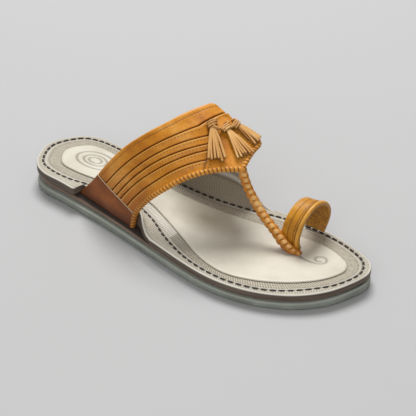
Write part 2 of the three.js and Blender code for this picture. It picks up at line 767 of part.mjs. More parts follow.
// A short cord out of the hole, a wrapped knot, and a skirt of flat strips that fans out.
function makeTassel({ hole, knot, left, right, lift }) {
  const clear = gap + patchRise + 0.2;
  const knotHeight = clear + knotRadius * 0.8;
  const parts = [];
  const head = new THREE.SphereGeometry(knotRadius, 10, 8);
  head.scale(1.15, 1.0, 0.8);
  const seat = overInstep(knot[0], knot[1], knotHeight);
  head.translate(seat.x, seat.y, seat.z);
  parts.push(head);
  parts.push(instepStrip([
    [hole[0], hole[1], clear + 0.8],
    [mix(hole[0], knot[0], 0.5), mix(hole[1], knot[1], 0.5), knotHeight + 0.6],
    [knot[0], knot[1], knotHeight],
  ], 1.8, 1.6));
  for (let k = 0; k < tasselStrips; k += 1) {
    const t = k / (tasselStrips - 1);
    const end = [mix(left[0], right[0], t), mix(left[1], right[1], t)];
    const layer = (k % 2) * 0.75;
    const route = [0, 0.3, 0.65, 1].map((s) => [
      mix(knot[0], end[0], s),
      mix(knot[1], end[1], s),
      mix(knotHeight, clear + stripThickness / 2 + 0.1 + lift * 0.4, Math.sqrt(s)) + layer * Math.min(1, s * 3),
    ]);
    parts.push(instepStrip(route, stripWidth, stripThickness));
  }
  return fuse(parts);
}

// Assembly

function piece(name, geometry, colour, roughness) {
  const material = new THREE.MeshStandardMaterial({ color: colour, roughness, metalness: 0 });
  const mesh = new THREE.Mesh(facingOut(geometry), material);
  mesh.name = name;
  return mesh;
}

const sandal = new THREE.Group();
sandal.add(piece('outsole', makeOutsole(), colours.outsole, 0.7));
sandal.add(piece('midsole', makeMidsole(), colours.midsole, 0.65));
sandal.add(piece('topsole', makeTopsole(), colours.topsole, 0.6));
sandal.add(piece('insole', makeInsole(), colours.insole, 0.5));
sandal.add(piece('upper', makeUpper(), colours.upper, 0.45));
sandal.add(piece('tab_lateral', makeTab('lateral'), colours.tab, 0.5));
sandal.add(piece('tab_medial', makeTab('medial'), colours.tab, 0.5));
tassels.forEach((t) => sandal.add(piece(t.name, makeTassel(t), colours.tassel, 0.6)));

export default sandal;
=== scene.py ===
# %% [markdown]
# # A kolhapuri sandal
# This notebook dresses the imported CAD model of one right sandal. Every piece is built in
# millimetres, in the CAD model's own frame: X to the toe, Y to the inner side, Z up.
# The shapes follow a few tables of sizes and one surface, the instep of a foot.

# %% Load the frame
import math
import random

import bmesh
import bpy
import numpy as np
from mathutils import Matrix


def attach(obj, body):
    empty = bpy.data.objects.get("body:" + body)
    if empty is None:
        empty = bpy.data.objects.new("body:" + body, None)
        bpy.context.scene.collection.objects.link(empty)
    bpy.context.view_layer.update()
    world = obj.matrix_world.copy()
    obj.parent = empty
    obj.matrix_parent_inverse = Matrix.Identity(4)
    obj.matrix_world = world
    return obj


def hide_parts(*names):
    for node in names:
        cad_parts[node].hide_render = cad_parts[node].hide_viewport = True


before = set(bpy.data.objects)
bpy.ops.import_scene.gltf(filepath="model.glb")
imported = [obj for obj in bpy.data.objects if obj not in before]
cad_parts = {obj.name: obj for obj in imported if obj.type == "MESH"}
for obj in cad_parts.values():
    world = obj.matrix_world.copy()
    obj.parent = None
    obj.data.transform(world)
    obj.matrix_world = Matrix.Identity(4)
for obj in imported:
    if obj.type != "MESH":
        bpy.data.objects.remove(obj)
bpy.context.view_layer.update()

# %% [markdown]
# ## Camera
# The photo was taken from about 33 degrees above the floor, in front of the outer side. The
# camera keeps that place, and a longer lens brings the one shoe close.

# %% Camera
MM = 0.001
CAMERA_PLACE = (462.9, -577.0, 500.0)
CAMERA_AIM = (7.0, 9.5, 15.0)
LENS = 114.0


def placed(name, data):
    obj = bpy.data.objects.new(name, data)
    bpy.context.scene.collection.objects.link(obj)
    return obj


def stand_and_aim(obj, place, target):
    """Puts a camera or lamp at a place in metres and turns it to a target."""
    away = np.array(target) - np.array(place)
    obj.location = place
    obj.rotation_euler = (math.atan2(math.hypot(away[0], away[1]), -away[2]), 0,
                          math.atan2(away[1], away[0]) - math.pi / 2)


camera_data = bpy.data.cameras.new("camera")
camera_data.lens = LENS
camera_data.clip_end = 20
camera = placed("camera", camera_data)
stand_and_aim(camera, np.array(CAMERA_PLACE) * MM, np.array(CAMERA_AIM) * MM)
bpy.context.scene.camera = camera
bpy.context.scene.view_settings.view_transform = "Standard"
print("camera at", CAMERA_PLACE)

# %% [markdown]
# ## Curves through tables
# A shoemaker's pattern is a list of widths at stations along the foot. One function draws a
# smooth curve through such a list, and one draws a closed outline through points.

# %% Small maths
def mix(a, b, t):
    return a + (b - a) * t


def ease(v):
    t = np.clip(v, 0, 1)
    return t * t * (3 - 2 * t)


def bell(away, half):
    """1 on a line, falling to nothing at about twice half away from it."""
    return np.exp(-(away / half) ** 2)


def unit(v):
    return v / np.linalg.norm(v, axis=-1, keepdims=True)


def through(stations, values):
    """A smooth curve through a table's rows, level past its two ends."""
    s = np.array(stations, float)
    v = np.array(values, float)
    rows = np.arange(len(s))
    before = np.maximum(rows - 1, 0)
    after = np.minimum(rows + 1, len(s) - 1)
    slope = (v[after] - v[before]) / (s[after] - s[before])

    def at(x):
        x = np.clip(np.asarray(x, float), s[0], s[-1])
        i = np.clip(np.searchsorted(s, x, side="right") - 1, 0, len(s) - 2)
        h = s[i + 1] - s[i]
        t = (x - s[i]) / h
        return ((1 + 2 * t) * (1 - t) ** 2 * v[i] + t * (1 - t) ** 2 * h * slope[i]
                + t * t * (3 - 2 * t) * v[i + 1] + t * t * (t - 1) * h * slope[i + 1])

    return at


def column(rows, index):
    return through([r[0] for r in rows], [r[index] for r in rows])


def spline(points, count, closed=False):
    """Points on a smooth curve that passes through the given ones."""
    p = np.array(points, float)
    if closed:
        p = np.concatenate([p[-1:], p, p[:2]])
    else:
        p = np.concatenate([2 * p[:1] - p[1:2], p, 2 * p[-1:] - p[-2:-1]])
    each = max(2, count // (len(p) - 3))
    out = []
    for a, b, c, d in zip(p, p[1:], p[2:], p[3:]):
        t1, t2, t3 = np.cumsum([np.linalg.norm(v - u) ** 0.5 + 1e-9
                                for u, v in ((a, b), (b, c), (c, d))])
        t = np.linspace(t1, t2, each, endpoint=False)[:, None]

        def blend(start, end, u, v):
            return (end - t) / (end - start) * u + (t - start) / (end - start) * v

        middle = blend(t1, t2, b, c)
        out.append(blend(t1, t2, blend(0, t2, blend(0, t1, a, b), middle),
                         blend(t1, t3, middle, blend(t2, t3, c, d))))
    if not closed:
        out.append(p[-2:-1])
    return np.concatenate(out)


def run_length(path):
    """Distance along a path to each of its points."""
    step = np.linalg.norm(np.diff(path, axis=0), axis=1)
    return np.concatenate([[0], np.cumsum(step)])


def evenly(path, pitch):
    """The same path with its points about pitch apart."""
    at = run_length(path)
    where = np.linspace(0, at[-1], max(2, int(round(at[-1] / pitch)) + 1))
    return np.stack([np.interp(where, at, values) for values in path.T], -1)


# %% [markdown]
# ## Sizes of the sole
# The sole is a sandwich of a rubber sheet, a leather layer and the footbed. It is thicker
# under the heel than under the ball.

# %% Heights of the layers
GAP = 0.3
HEEL_TIP = (-131.7, 1.3)
TOE_TIP = (130.4, 13.3)
HEEL_STATION, BALL_STATION = -100.0, 80.0
OUTSOLE_TOP = (6.2, 5.0)
MIDSOLE_TOP = (12.4, 7.3)
TOPSOLE_EDGE = (18.5, 11.9)
SEAM_RISE = 0.4
PAD_THICKNESS = 1.1
TOE_SPRING = (88.0, 1.6)         # where the sole starts to rise, and its rise at the tip
HEEL_SPRING = (-112.0, 0.5)


def spring(x):
    toe = np.maximum(0, (x - TOE_SPRING[0]) / (TOE_TIP[0] - TOE_SPRING[0]))
    heel = np.maximum(0, (HEEL_SPRING[0] - x) / (HEEL_SPRING[0] - HEEL_TIP[0]))
    return TOE_SPRING[1] * toe * toe + HEEL_SPRING[1] * heel * heel


def level(heights, x):
    share = ease((x - HEEL_STATION) / (BALL_STATION - HEEL_STATION))
    return mix(heights[0], heights[1], share) + spring(x)


def seam_level(x):
    return level(TOPSOLE_EDGE, x) + SEAM_RISE


# %% Outlines
# Each has its rows, of station, outer edge and inner edge, and its heel and toe tips.
SOLE = ([
    (-122, -20.4, 23.6), (-110, -27.6, 30.2), (-90, -29.6, 30.2), (-50, -34.1, 27.8),
    (0, -42.3, 32.1), (48, -48.6, 38.8), (70, -46.9, 40.0), (88, -41.6, 38.3),
    (106, -31.4, 33.6), (119, -18.1, 28.3), (126, -4.8, 23.6),
], HEEL_TIP, TOE_TIP)
SEAM = ([
    (-119, -18.4, 21.2), (-108, -23.4, 26.4), (-90, -24.8, 27.0), (-66, -20.6, 24.0),
    (-35, -18.6, 20.4), (-14, -24.6, 20.4), (6, -35.0, 22.0), (29, -43.4, 26.8),
    (50, -46.2, 32.8), (68, -45.2, 35.4), (87, -39.6, 34.6), (101, -30.9, 32.2),
    (114, -18.6, 27.4), (122.5, -7.0, 21.8),
], (-128.0, 1.3), (127.4, 10.6))
PAD = ([
    (-106, -12.6, 16.8), (-90, -15.4, 18.8), (-60, -12.6, 14.2), (-28, -11.6, 10.6),
    (-10, -17.6, 10.2), (12, -27.0, 11.6), (38, -38.2, 15.8), (58, -41.2, 19.6),
    (78, -35.6, 22.4), (95, -25.8, 22.4), (109, -13.2, 17.8), (115.5, -3.4, 13.4),
], (-115.4, 2.0), (118.4, 6.2))


def outline(layer, inset, shares):
    """Ring of points around a layer, at the same shares of its length on both sides."""
    rows, heel, toe = layer
    points = [heel] + [(r[0], r[2]) for r in rows] + [toe] + [(r[0], r[1]) for r in rows[::-1]]
    fine = spline(points, 1400, closed=True)
    along = unit(np.roll(fine, -1, 0) - np.roll(fine, 1, 0))
    fine = fine + np.stack([along[:, 1], -along[:, 0]], -1) * inset
    first, last = fine[:, 0].argmin(), fine[:, 0].argmax()
    fine = np.roll(fine, -first, 0)
    split = (last - first) % len(fine)
    inner, outer = fine[:split + 1], np.concatenate([fine[split:], fine[:1]])[::-1]
    x = mix(fine[0, 0], fine[split, 0], shares)
    inner_y = np.interp(x, np.maximum.accumulate(inner[:, 0]), inner[:, 1])
    outer_y = np.interp(x, np.maximum.accumulate(outer[:, 0]), outer[:, 1])
    inner_y[[0, -1]] = outer_y[[0, -1]] = fine[0, 1], fine[split, 1]
    ring_x = np.concatenate([x, x[-2:0:-1]])
    ring_y = np.concatenate([inner_y, outer_y[-2:0:-1]])
    return np.stack([ring_x, ring_y], -1)


def crowded(count):
    """Shares of a length that crowd together at its two ends."""
    return (1 - np.cos(np.pi * np.arange(count + 1) / count)) / 2


# %% [markdown]
# ## From grids to meshes
# Most pieces are a grid of points that closes on itself. One helper makes its faces, gives it
# a UV map in real distances and marks zones for the materials, then turns its faces outward.

# %% Mesh helpers
def finish_piece(obj):
    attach(obj, "root")
    return obj


def triangles(mesh):
    return sum(len(p.vertices) - 2 for p in mesh.polygons)


def mesh_piece(name, verts, faces, material, uv=None, marks=None):
    mesh = bpy.data.meshes.new(name)
    mesh.from_pydata((np.asarray(verts) * MM).tolist(), [], [list(map(int, f)) for f in faces])
    if uv is not None:
        layer = mesh.uv_layers.new(name="surface")
        layer.data.foreach_set("uv", np.asarray(uv, np.float32).ravel())
    for key, values in (marks or {}).items():
        attribute = mesh.attributes.new(key, "FLOAT", "POINT")
        attribute.data.foreach_set("value", np.asarray(values, np.float32).ravel())
    tidy = bmesh.new()
    tidy.from_mesh(mesh)
    bmesh.ops.remove_doubles(tidy, verts=tidy.verts, dist=1e-6)
    bmesh.ops.recalc_face_normals(tidy, faces=tidy.faces)
    tidy.to_mesh(mesh)
    tidy.free()
    mesh.shade_smooth()
    mesh.materials.append(material)
    print(name, "triangles", triangles(mesh))
    return finish_piece(placed(name, mesh))


def grid_faces(rows, columns):
    """Faces of a grid whose rows close on themselves."""
    k, i = np.meshgrid(np.arange(rows - 1), np.arange(columns), indexing="ij")
    j = (i + 1) % columns
    return np.stack([k * columns + i, k * columns + j, (k + 1) * columns + j,
                     (k + 1) * columns + i], -1).reshape(-1, 4)


def ring_piece(name, rings, material, marks, seam=None, distance=None):
    """A closed layer from rings around the sole. Its UV map runs along and away from the seam."""
    rows, count = rings.shape[:2]
    uv = None
    if seam is not None:
        along = run_length(np.concatenate([seam, seam[:1]]))
        k, i = np.meshgrid(np.arange(rows - 1), np.arange(count), indexing="ij")
        j = (i + 1) % count
        corners = ((i, k, i), (i + 1, k, j), (i + 1, k + 1, j), (i, k + 1, i))
        uv = np.stack([np.stack([along[u], distance[row, point]], -1)
                       for u, row, point in corners], 2).reshape(-1, 2)
    return mesh_piece(name, rings.reshape(-1, 3), grid_faces(rows, count), material,
                      uv, marks)


def shell_piece(name, outer, inner, material, marks):
    """A strap from its outer and inner face. Marks hold for the outer face; inside is marked 1."""
    grid = np.concatenate([outer, inner[:, ::-1]], axis=1)
    rows, columns = grid.shape[:2]
    faces = grid_faces(rows, columns).tolist()
    for row, flip in ((0, False), (rows - 1, True)):
        for k in range(columns // 2 - 1):
            a, b = row * columns + k, row * columns + k + 1
            c, d = row * columns + columns - 2 - k, row * columns + columns - 1 - k
            faces.append([a, b, c, d] if flip else [a, d, c, b])
    zero = np.zeros(outer.shape[:2])
    full = {key: np.concatenate([value, zero], axis=1) for key, value in marks.items()}
    full["inside"] = np.concatenate([zero, zero + 1], axis=1)
    return mesh_piece(name, grid.reshape(-1, 3), faces, material, marks=full)


def capped(rings, below, above):
    """Closes a stack of rings: both ends draw together to the sole's middle line."""
    def to_middle(ring, steps):
        partner = ring[(-np.arange(len(ring))) % len(ring)]
        return [mix(ring, (ring + partner) / 2, step) for step in steps]

    return np.array(to_middle(rings[0], below)[::-1] + rings + to_middle(rings[-1], above))


# %% [markdown]
# ## Colours and nodes
# Colours are read off the real materials as sRGB hex values. Blender's shaders work in linear
# light, so one function converts them.

# %% Material helpers
def colour(hex_code):
    values = [int(hex_code[k:k + 2], 16) / 255 for k in (1, 3, 5)]
    linear = [v / 12.92 if v <= 0.04045 else ((v + 0.055) / 1.055) ** 2.4 for v in values]
    return (*linear, 1.0)


def feed(tree, socket, value):
    """Gives a socket a value, a hex colour or the output of another node."""
    if isinstance(value, bpy.types.NodeSocket):
        tree.links.new(value, socket)
    else:
        socket.default_value = colour(value) if str(value)[0] == "#" else value


def feed_all(tree, node, **inputs):
    """Feeds a node's inputs by name. An underscore stands for a space."""
    for key, value in inputs.items():
        feed(tree, node.inputs[key.replace("_", " ")], value)


def add(tree, kind, settings=None, **inputs):
    node = tree.nodes.new(kind)
    for key, value in (settings or {}).items():
        setattr(node, key, value)
    feed_all(tree, node, **inputs)
    return node


def new_material(name):
    material = bpy.data.materials.new(name)
    material.use_nodes = True
    tree = material.node_tree
    shader = next(n for n in tree.nodes if n.type == "BSDF_PRINCIPLED")
    return material, tree, shader


def ramp(tree, source, stops):
    node = add(tree, "ShaderNodeValToRGB", Fac=source)
    elements = node.color_ramp.elements
    while len(elements) < len(stops):
        elements.new(0.5)
    for element, (where, shade) in zip(elements, stops):
        element.position = where
        element.color = colour(shade) if isinstance(shade, str) else (shade, shade, shade, 1)
    return node.outputs["Color"]


def maths(tree, operation, *values):
    node = add(tree, "ShaderNodeMath", {"operation": operation})
    for socket, value in zip(node.inputs, values):
        feed(tree, socket, value)
    return node.outputs[0]


def blend_colour(tree, factor, a, b):
    node = add(tree, "ShaderNodeMix", {"data_type": "RGBA"})
    for index, value in ((0, factor), (6, a), (7, b)):
        feed(tree, node.inputs[index], value)
    return node.outputs[2]


def tint(tree, body, factor, share, shade):
    """Mixes a shade into the body colour by a factor, and at most by share."""
    return blend_colour(tree, maths(tree, "MULTIPLY", factor, share), body, shade)


def mark(tree, name):
    return add(tree, "ShaderNodeAttribute", {"attribute_name": name}).outputs["Fac"]


def noise(tree, vector, size_mm, detail, roughness):
    return add(tree, "ShaderNodeTexNoise", Vector=vector, Scale=1000 / size_mm, Detail=detail,
               Roughness=roughness).outputs["Fac"]


def bump(tree, height, distance_mm, strength=1.0, **under):
    return add(tree, "ShaderNodeBump", Height=height, Distance=distance_mm * MM,
               Strength=strength, **under).outputs["Normal"]


def object_place(tree, stretch=(1, 1, 1)):
    coordinates = tree.nodes.new("ShaderNodeTexCoord").outputs["Object"]
    return add(tree, "ShaderNodeMapping", Vector=coordinates, Scale=stretch).outputs["Vector"]


# %% [markdown]
# ## Vegetable-tanned strap leather
# The straps are thick hide, dyed mustard tan and waxed. The folds get painted shade, the high
# places a painted highlight, and the colour turns redder towards the sole. Real pores are about
# half a millimetre apart, and these are drawn coarser so that they show.

# %% Strap leather
def hide_bump(tree, place, pore_mm=1.1, depth_mm=0.09):
    grain = add(tree, "ShaderNodeTexVoronoi", Vector=place, Scale=1000 / pore_mm)
    creases = noise(tree, place, 7.0, 6.0, 0.62)
    low = bump(tree, creases, depth_mm * 4, 0.7)
    return bump(tree, grain.outputs["Distance"], depth_mm, 0.7, Normal=low)


def strap_leather(name, light, middle, deep, foot, foot_height=0.02, inner="#8E5C2E"):
    """The shade called foot comes in below foot_height, in metres. inner is the flesh side."""
    material, tree, shader = new_material(name)
    place = object_place(tree)
    streaks = noise(tree, object_place(tree, (0.55, 1.0, 1.0)), 16.0, 5.0, 0.6)
    flecks = noise(tree, place, 1.6, 3.0, 0.7)
    height = add(tree, "ShaderNodeSeparateXYZ", Vector=place).outputs["Z"]
    low = add(tree, "ShaderNodeMapRange", {"interpolation_type": "SMOOTHSTEP"}, Value=height,
              From_Min=foot_height, From_Max=0.012).outputs["Result"]
    body = ramp(tree, streaks, [(0.3, deep), (0.5, middle), (0.72, light)])
    # Painted highlight and painted shade come from marks on the mesh: light on the high places, near
    # black in grooves and folds.
    for factor, share, shade in (
            (ramp(tree, flecks, [(0.45, 0.0), (0.75, 1.0)]), 0.35, deep), (low, 0.9, foot),
            (mark(tree, "rubbed"), 0.55, light), (mark(tree, "pooled"), 0.92, "#431B07")):
        body = tint(tree, body, factor, share, shade)
    suede = blend_colour(tree, ramp(tree, flecks, [(0.4, 0.0), (0.7, 0.75)]), inner, "#5A3212")
    feed_all(tree, shader, Base_Color=blend_colour(tree, mark(tree, "inside"), body, suede),
             Roughness=ramp(tree, streaks, [(0.25, 0.50), (0.75, 0.38)]),
             Normal=hide_bump(tree, place), IOR=1.5, Specular_IOR_Level=0.3, Coat_Weight=0.06,
             Coat_Roughness=0.35)
    return material


BAND_LEATHER = strap_leather("waxed_tan_leather", "#F2B256", "#DB8E24", "#B46A12", "#94490C",
                             foot_height=0.052)
TAB_LEATHER = strap_leather("waxed_russet_leather", "#A0560A", "#834205", "#683103", "#5A2A03")
RING_LEATHER = strap_leather("waxed_gold_leather", "#EFB658", "#D09028", "#A86A16", "#965814",
                             inner="#C08A38")
CORD_LEATHER = strap_leather("plaited_cord_leather", "#FBD08A", "#E0902A", "#B46C18", "#A86218")
TASSEL_LEATHER = strap_leather("soft_tassel_leather", "#F4C682", "#D2924A", "#A0641E", "#A97032")
print("strap leathers made")

# %% [markdown]
# ## Footbed leather
# The footbed is undyed buffalo hide, ivory and matt, smooth in the middle. Its border is pressed
# with a woven pattern, and the tall inside of the ears is a grey-brown cloth. Marks on the mesh
# say which zone a point is in, and the UV map runs along the seam in millimetres.

# %% Footbed leather
def weave_height(tree, pitch_mm, cross_mm, ribs):
    """A weave on the piece's own UV map, in millimetres. ribs is 0 for plain, 1 for cords only."""
    uv = add(tree, "ShaderNodeUVMap", {"uv_map": "surface"}).outputs["UV"]
    parts = add(tree, "ShaderNodeSeparateXYZ", Vector=uv).outputs
    along, across = (
        maths(tree, "SINE", maths(tree, "MULTIPLY", parts[axis], 2 * math.pi / pitch))
        for axis, pitch in (("X", pitch_mm), ("Y", cross_mm)))
    across = maths(tree, "MULTIPLY_ADD", across, 1 - ribs, ribs)
    return maths(tree, "MULTIPLY_ADD", maths(tree, "MULTIPLY", along, across), 0.5, 0.5)


def footbed_leather():
    material, tree, shader = new_material("ivory_buffalo_leather")
    place = object_place(tree)
    clouds = noise(tree, place, 22.0, 5.0, 0.6)
    specks = noise(tree, place, 1.4, 2.0, 0.6)
    weave = weave_height(tree, 1.7, 2.4, 0.7)
    fine = weave_height(tree, 1.9, 1.7, 0.15)
    layers = noise(tree, object_place(tree, (0.05, 0.05, 2.6)), 2.4, 3.0, 0.6)
    border, cloth = mark(tree, "border"), mark(tree, "cloth")
    woven = ramp(tree, weave, [(0.2, "#8E8571"), (0.5, "#B8AE9B"), (0.85, "#D2C9B8")])
    woven = tint(tree, woven, ramp(tree, specks, [(0.4, 0.0), (0.7, 1.0)]), 0.5, "#8A816F")
    ribbed = ramp(tree, weave, [(0.15, "#A79F90"), (0.5, "#D2CBBC"), (0.85, "#E9E4D8")])
    woven = blend_colour(tree, mark(tree, "pale"), woven, ribbed)
    woven = tint(tree, woven, mark(tree, "slate"), 0.32, "#7A7469")
    lining = ramp(tree, fine, [(0.1, "#7A7060"), (0.5, "#9F9480"), (0.9, "#C2B7A2")])
    side = ramp(tree, layers, [(0.35, "#4C3F33"), (0.55, "#66574A"), (0.75, "#857562")])
    body = ramp(tree, clouds, [(0.3, "#BDB5A4"), (0.55, "#CFC8B8"), (0.75, "#DAD4C6")])
    for factor, shade in ((border, woven), (cloth, lining), (mark(tree, "wall"), side)):
        body = blend_colour(tree, factor, body, shade)
    # Painted shade from the mesh marks: dark lines on the side wall, inside the roll, in the seam
    # groove and at the pad's edge.
    body = tint(tree, body, mark(tree, "pooled"), 0.85, "#3A322B")
    pressed = bump(tree, maths(tree, "MULTIPLY", weave, border), 0.28, 0.9,
                   Normal=hide_bump(tree, place, 1.3, 0.05))
    # The roll and the top edge of the ears get a painted highlight.
    feed_all(tree, shader, Base_Color=blend_colour(tree, mark(tree, "rubbed"), body, "#EFEBE1"),
             Roughness=ramp(tree, clouds, [(0.3, 0.62), (0.7, 0.5)]), IOR=1.48,
             Normal=bump(tree, maths(tree, "MULTIPLY", fine, cloth), 0.3, 0.9, Normal=pressed))
    return material


def pad_leather():
    """Smooth, with a painted shadow of the band near the ball of the foot."""
    material, tree, shader = new_material("smooth_ivory_leather")
    place = object_place(tree)
    clouds = noise(tree, place, 30.0, 5.0, 0.6)
    centre = add(tree, "ShaderNodeMapping", {"vector_type": "TEXTURE"}, Vector=place,
                 Location=(0.0133, -0.002, 0.015), Scale=(0.03, 0.017, 0.03)).outputs["Vector"]
    painted_band_shadow = add(tree, "ShaderNodeTexGradient", {"gradient_type": "SPHERICAL"}, Vector=centre)
    body = ramp(tree, clouds, [(0.3, "#C6BEAB"), (0.55, "#D6CFBE"), (0.78, "#DFD9CA")])
    # Painted shadow that the band casts on the pad.
    body = tint(tree, body, painted_band_shadow.outputs["Fac"], 0.8, "#8A7A62")
    # Painted shade in the stamped lines and along the pad's edge.
    feed_all(tree, shader, Base_Color=tint(tree, body, mark(tree, "pooled"), 0.7, "#6F6556"),
             Roughness=ramp(tree, clouds, [(0.3, 0.52), (0.7, 0.42)]), IOR=1.48,
             Normal=hide_bump(tree, place, 1.2, 0.035))
    return material


FOOTBED_LEATHER = footbed_leather()
PAD_LEATHER = pad_leather()

# %% [markdown]
# ## Sole edges and threads
# The midsole is pressed brown leather whose cut edge shows its fibre, with painted shade in
# its grooves. The outsole is crepe rubber, grey-green and dull, with a painted highlight along its
# upper edge. Threads are waxed cotton.

# %% Sole and thread materials
def edge_leather():
    material, tree, shader = new_material("burnished_edge_leather")
    fibres = noise(tree, object_place(tree, (0.08, 0.08, 2.0)), 2.0, 4.0, 0.65)
    body = ramp(tree, fibres, [(0.3, "#6B5444"), (0.5, "#8B7363"), (0.72, "#A38B79")])
    # Painted shade in the grooves and on the hidden caps.
    feed_all(tree, shader, Base_Color=blend_colour(tree, mark(tree, "pooled"), body, "#2A1E15"),
             Roughness=0.6, Normal=bump(tree, fibres, 0.2, 0.8))
    return material


def crepe_rubber():
    material, tree, shader = new_material("crepe_rubber")
    place = object_place(tree)
    clouds = noise(tree, place, 18.0, 4.0, 0.6)
    grit = noise(tree, place, 0.9, 3.0, 0.6)
    ripples = noise(tree, object_place(tree, (0.1, 0.1, 1.6)), 2.2, 2.0, 0.5)
    body = ramp(tree, clouds, [(0.3, "#7B8176"), (0.55, "#8F958A"), (0.75, "#A0A69A")])
    # Painted highlight along the upper rounded edge.
    feed_all(tree, shader, Base_Color=tint(tree, body, mark(tree, "rubbed"), 0.7, "#C2C7BA"),
             Roughness=0.68, IOR=1.52,
             Normal=bump(tree, grit, 0.07, 0.8, Normal=bump(tree, ripples, 0.2, 0.6)))
    return material


def waxed_thread(name, light, dark):
    material, tree, shader = new_material(name)
    twist = noise(tree, object_place(tree), 0.8, 2.0, 0.5)
    feed_all(tree, shader, Base_Color=ramp(tree, twist, [(0.35, dark), (0.65, light)]),
             Roughness=0.6, Normal=bump(tree, twist, 0.12))
    return material


EDGE_LEATHER = edge_leather()
CREPE_RUBBER = crepe_rubber()
DARK_THREAD = waxed_thread("dark_waxed_thread", "#33291F", "#17110C")
TAN_THREAD = waxed_thread("tan_waxed_thread", "#B0742A", "#7E4A14")
PALE_THREAD = waxed_thread("pale_waxed_thread", "#D9C3A2", "#B0936C")
print("materials", len(bpy.data.materials))

# %% [markdown]
# ## Outsole and midsole
# Both are flat layers with the outline of the foot. Each is a stack of rings: the rings step in
# and out to give the rounded rubber edge and the ridge between two grooves. The grooves get
# painted shade, and the rubber's upper edge a painted highlight.

# %% Outsole
STATIONS = crowded(150)


def sole_layer(name, profile, low, high, material, marked, cap_mark):
    """A closed layer. profile has a row for each ring: inset, share of the height, mark."""
    rings = []
    for inset, share, _ in profile:
        ring = outline(SOLE, inset, STATIONS)
        rings.append(np.column_stack([ring, mix(low(ring[:, 0]), high(ring[:, 0]), share)]))
    steps = (0.35, 0.7, 1.0)
    marks = [cap_mark] * len(steps) + [row[2] for row in profile] + [cap_mark] * len(steps)
    grid = capped(rings, steps, steps)
    marks = np.repeat(np.array(marks)[:, None], grid.shape[1], axis=1)
    return ring_piece(name, grid, material, {marked: marks})


# Rows: inset, share of the height, painted highlight on the upper rounded edge.
OUTSOLE_PROFILE = [
    (1.0, 0.0, 0), (0.4, 0.02, 0), (-0.2, 0.08, 0), (-0.6, 0.18, 0), (-0.85, 0.3, 0),
    (-0.95, 0.44, 0), (-1.0, 0.58, 0), (-0.95, 0.72, 0), (-0.8, 0.84, 0.3), (-0.55, 0.93, 0.9),
    (-0.1, 0.985, 1.0), (0.5, 1.0, 0.8),
]
UNDERSIDE_SPRING = 0.3           # the underside's share of the spring
outsole = sole_layer("outsole_rubber", OUTSOLE_PROFILE, lambda x: spring(x) * UNDERSIDE_SPRING,
                     lambda x: level(OUTSOLE_TOP, x), CREPE_RUBBER, "rubbed", 0)
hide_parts("outsole")

# %% Midsole
# Rows: inset, share of the height, painted shade in the grooves.
MIDSOLE_PROFILE = [
    (3.0, 0.0, 1), (2.9, 0.08, 1), (2.7, 0.16, 1), (1.9, 0.2, 0.8), (1.2, 0.25, 0.35),
    (0.9, 0.33, 0.08), (0.8, 0.42, 0), (0.78, 0.52, 0), (0.85, 0.62, 0.05), (1.05, 0.7, 0.3),
    (1.6, 0.77, 0.8), (2.6, 0.82, 1), (2.9, 0.9, 1), (3.0, 1.0, 1),
]
midsole = sole_layer("midsole_leather", MIDSOLE_PROFILE, lambda x: level(OUTSOLE_TOP, x) + GAP,
                     lambda x: level(MIDSOLE_TOP, x), EDGE_LEATHER, "pooled", 1)
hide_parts("midsole")

# %% [markdown]
# ## The instep
# Every strap lies on one surface, the top of a foot: an arch from the outer foot of the strap
# (turn -1) over the crest (0) to its inner foot (1), which falls towards the toe.

# %% Instep surface
INSTEP_HEIGHT, INSTEP_FALL = 88.75, 0.53
CREST_OFFSET, CREST_DRIFT = 21.0, 0.038
LATERAL_ROUNDNESS, MEDIAL_ROUNDNESS = 2.0, 2.74
STRAP_WALL = 2.6
STRAP_FEET = [(-80, -25.6, 25.0), (-50, -30.6, 26.4), (-22, -35.0, 28.4), (0, -40.0, 31.0),
              (40, -46.0, 37.0)]
foot_lateral, foot_medial = column(STRAP_FEET, 1), column(STRAP_FEET, 2)


def instep(x, turn):
    x, turn = np.broadcast_arrays(np.asarray(x, float), np.asarray(turn, float))
    outer = turn < 0
    roundness = np.where(outer, LATERAL_ROUNDNESS, MEDIAL_ROUNDNESS)
    foot = np.where(outer, foot_lateral(x), foot_medial(x))
    angle = np.minimum(1, np.abs(turn)) * np.pi / 2
    out = np.sin(angle) ** (2 / roundness)
    up = np.maximum(0, np.cos(angle)) ** (2 / roundness)
    y = mix(CREST_OFFSET + CREST_DRIFT * x, foot, out)
    z = mix(level(MIDSOLE_TOP, x) + GAP, INSTEP_HEIGHT - INSTEP_FALL * x, up)
    return np.stack([x, y, z], -1)


def instep_normal(x, turn):
    d = 0.004
    x, turn = np.broadcast_arrays(np.asarray(x, float), np.clip(turn, -0.996, 0.996))
    over = instep(x, turn + d) - instep(x, turn - d)
    along = instep(x + 0.5, turn) - instep(x - 0.5, turn)
    return unit(np.cross(along, over))


def over_instep(x, turn, height):
    return instep(x, turn) + instep_normal(x, turn) * np.asarray(height)[..., None]


def turn_at(x, z, side):
    """The turn at which the instep passes a height on one side."""
    floor = level(MIDSOLE_TOP, x) + GAP
    roundness = LATERAL_ROUNDNESS if side < 0 else MEDIAL_ROUNDNESS
    up = np.clip((z - floor) / (INSTEP_HEIGHT - INSTEP_FALL * x - floor), 0, 1)
    return side * np.arccos(up ** (roundness / 2)) * 2 / np.pi


print("crest at mid-length", instep(0, 0))

# %% [markdown]
# ## Footbed board with its ears
# The footbed's edge is rolled over like piping. Where a strap goes down into the sole, the edge
# is cut back behind it and stands up as an ear, tall on the inner side. One surface makes it all:
# from the underside, up the side, over the roll, down the inside of the ear and across the
# border to the middle.

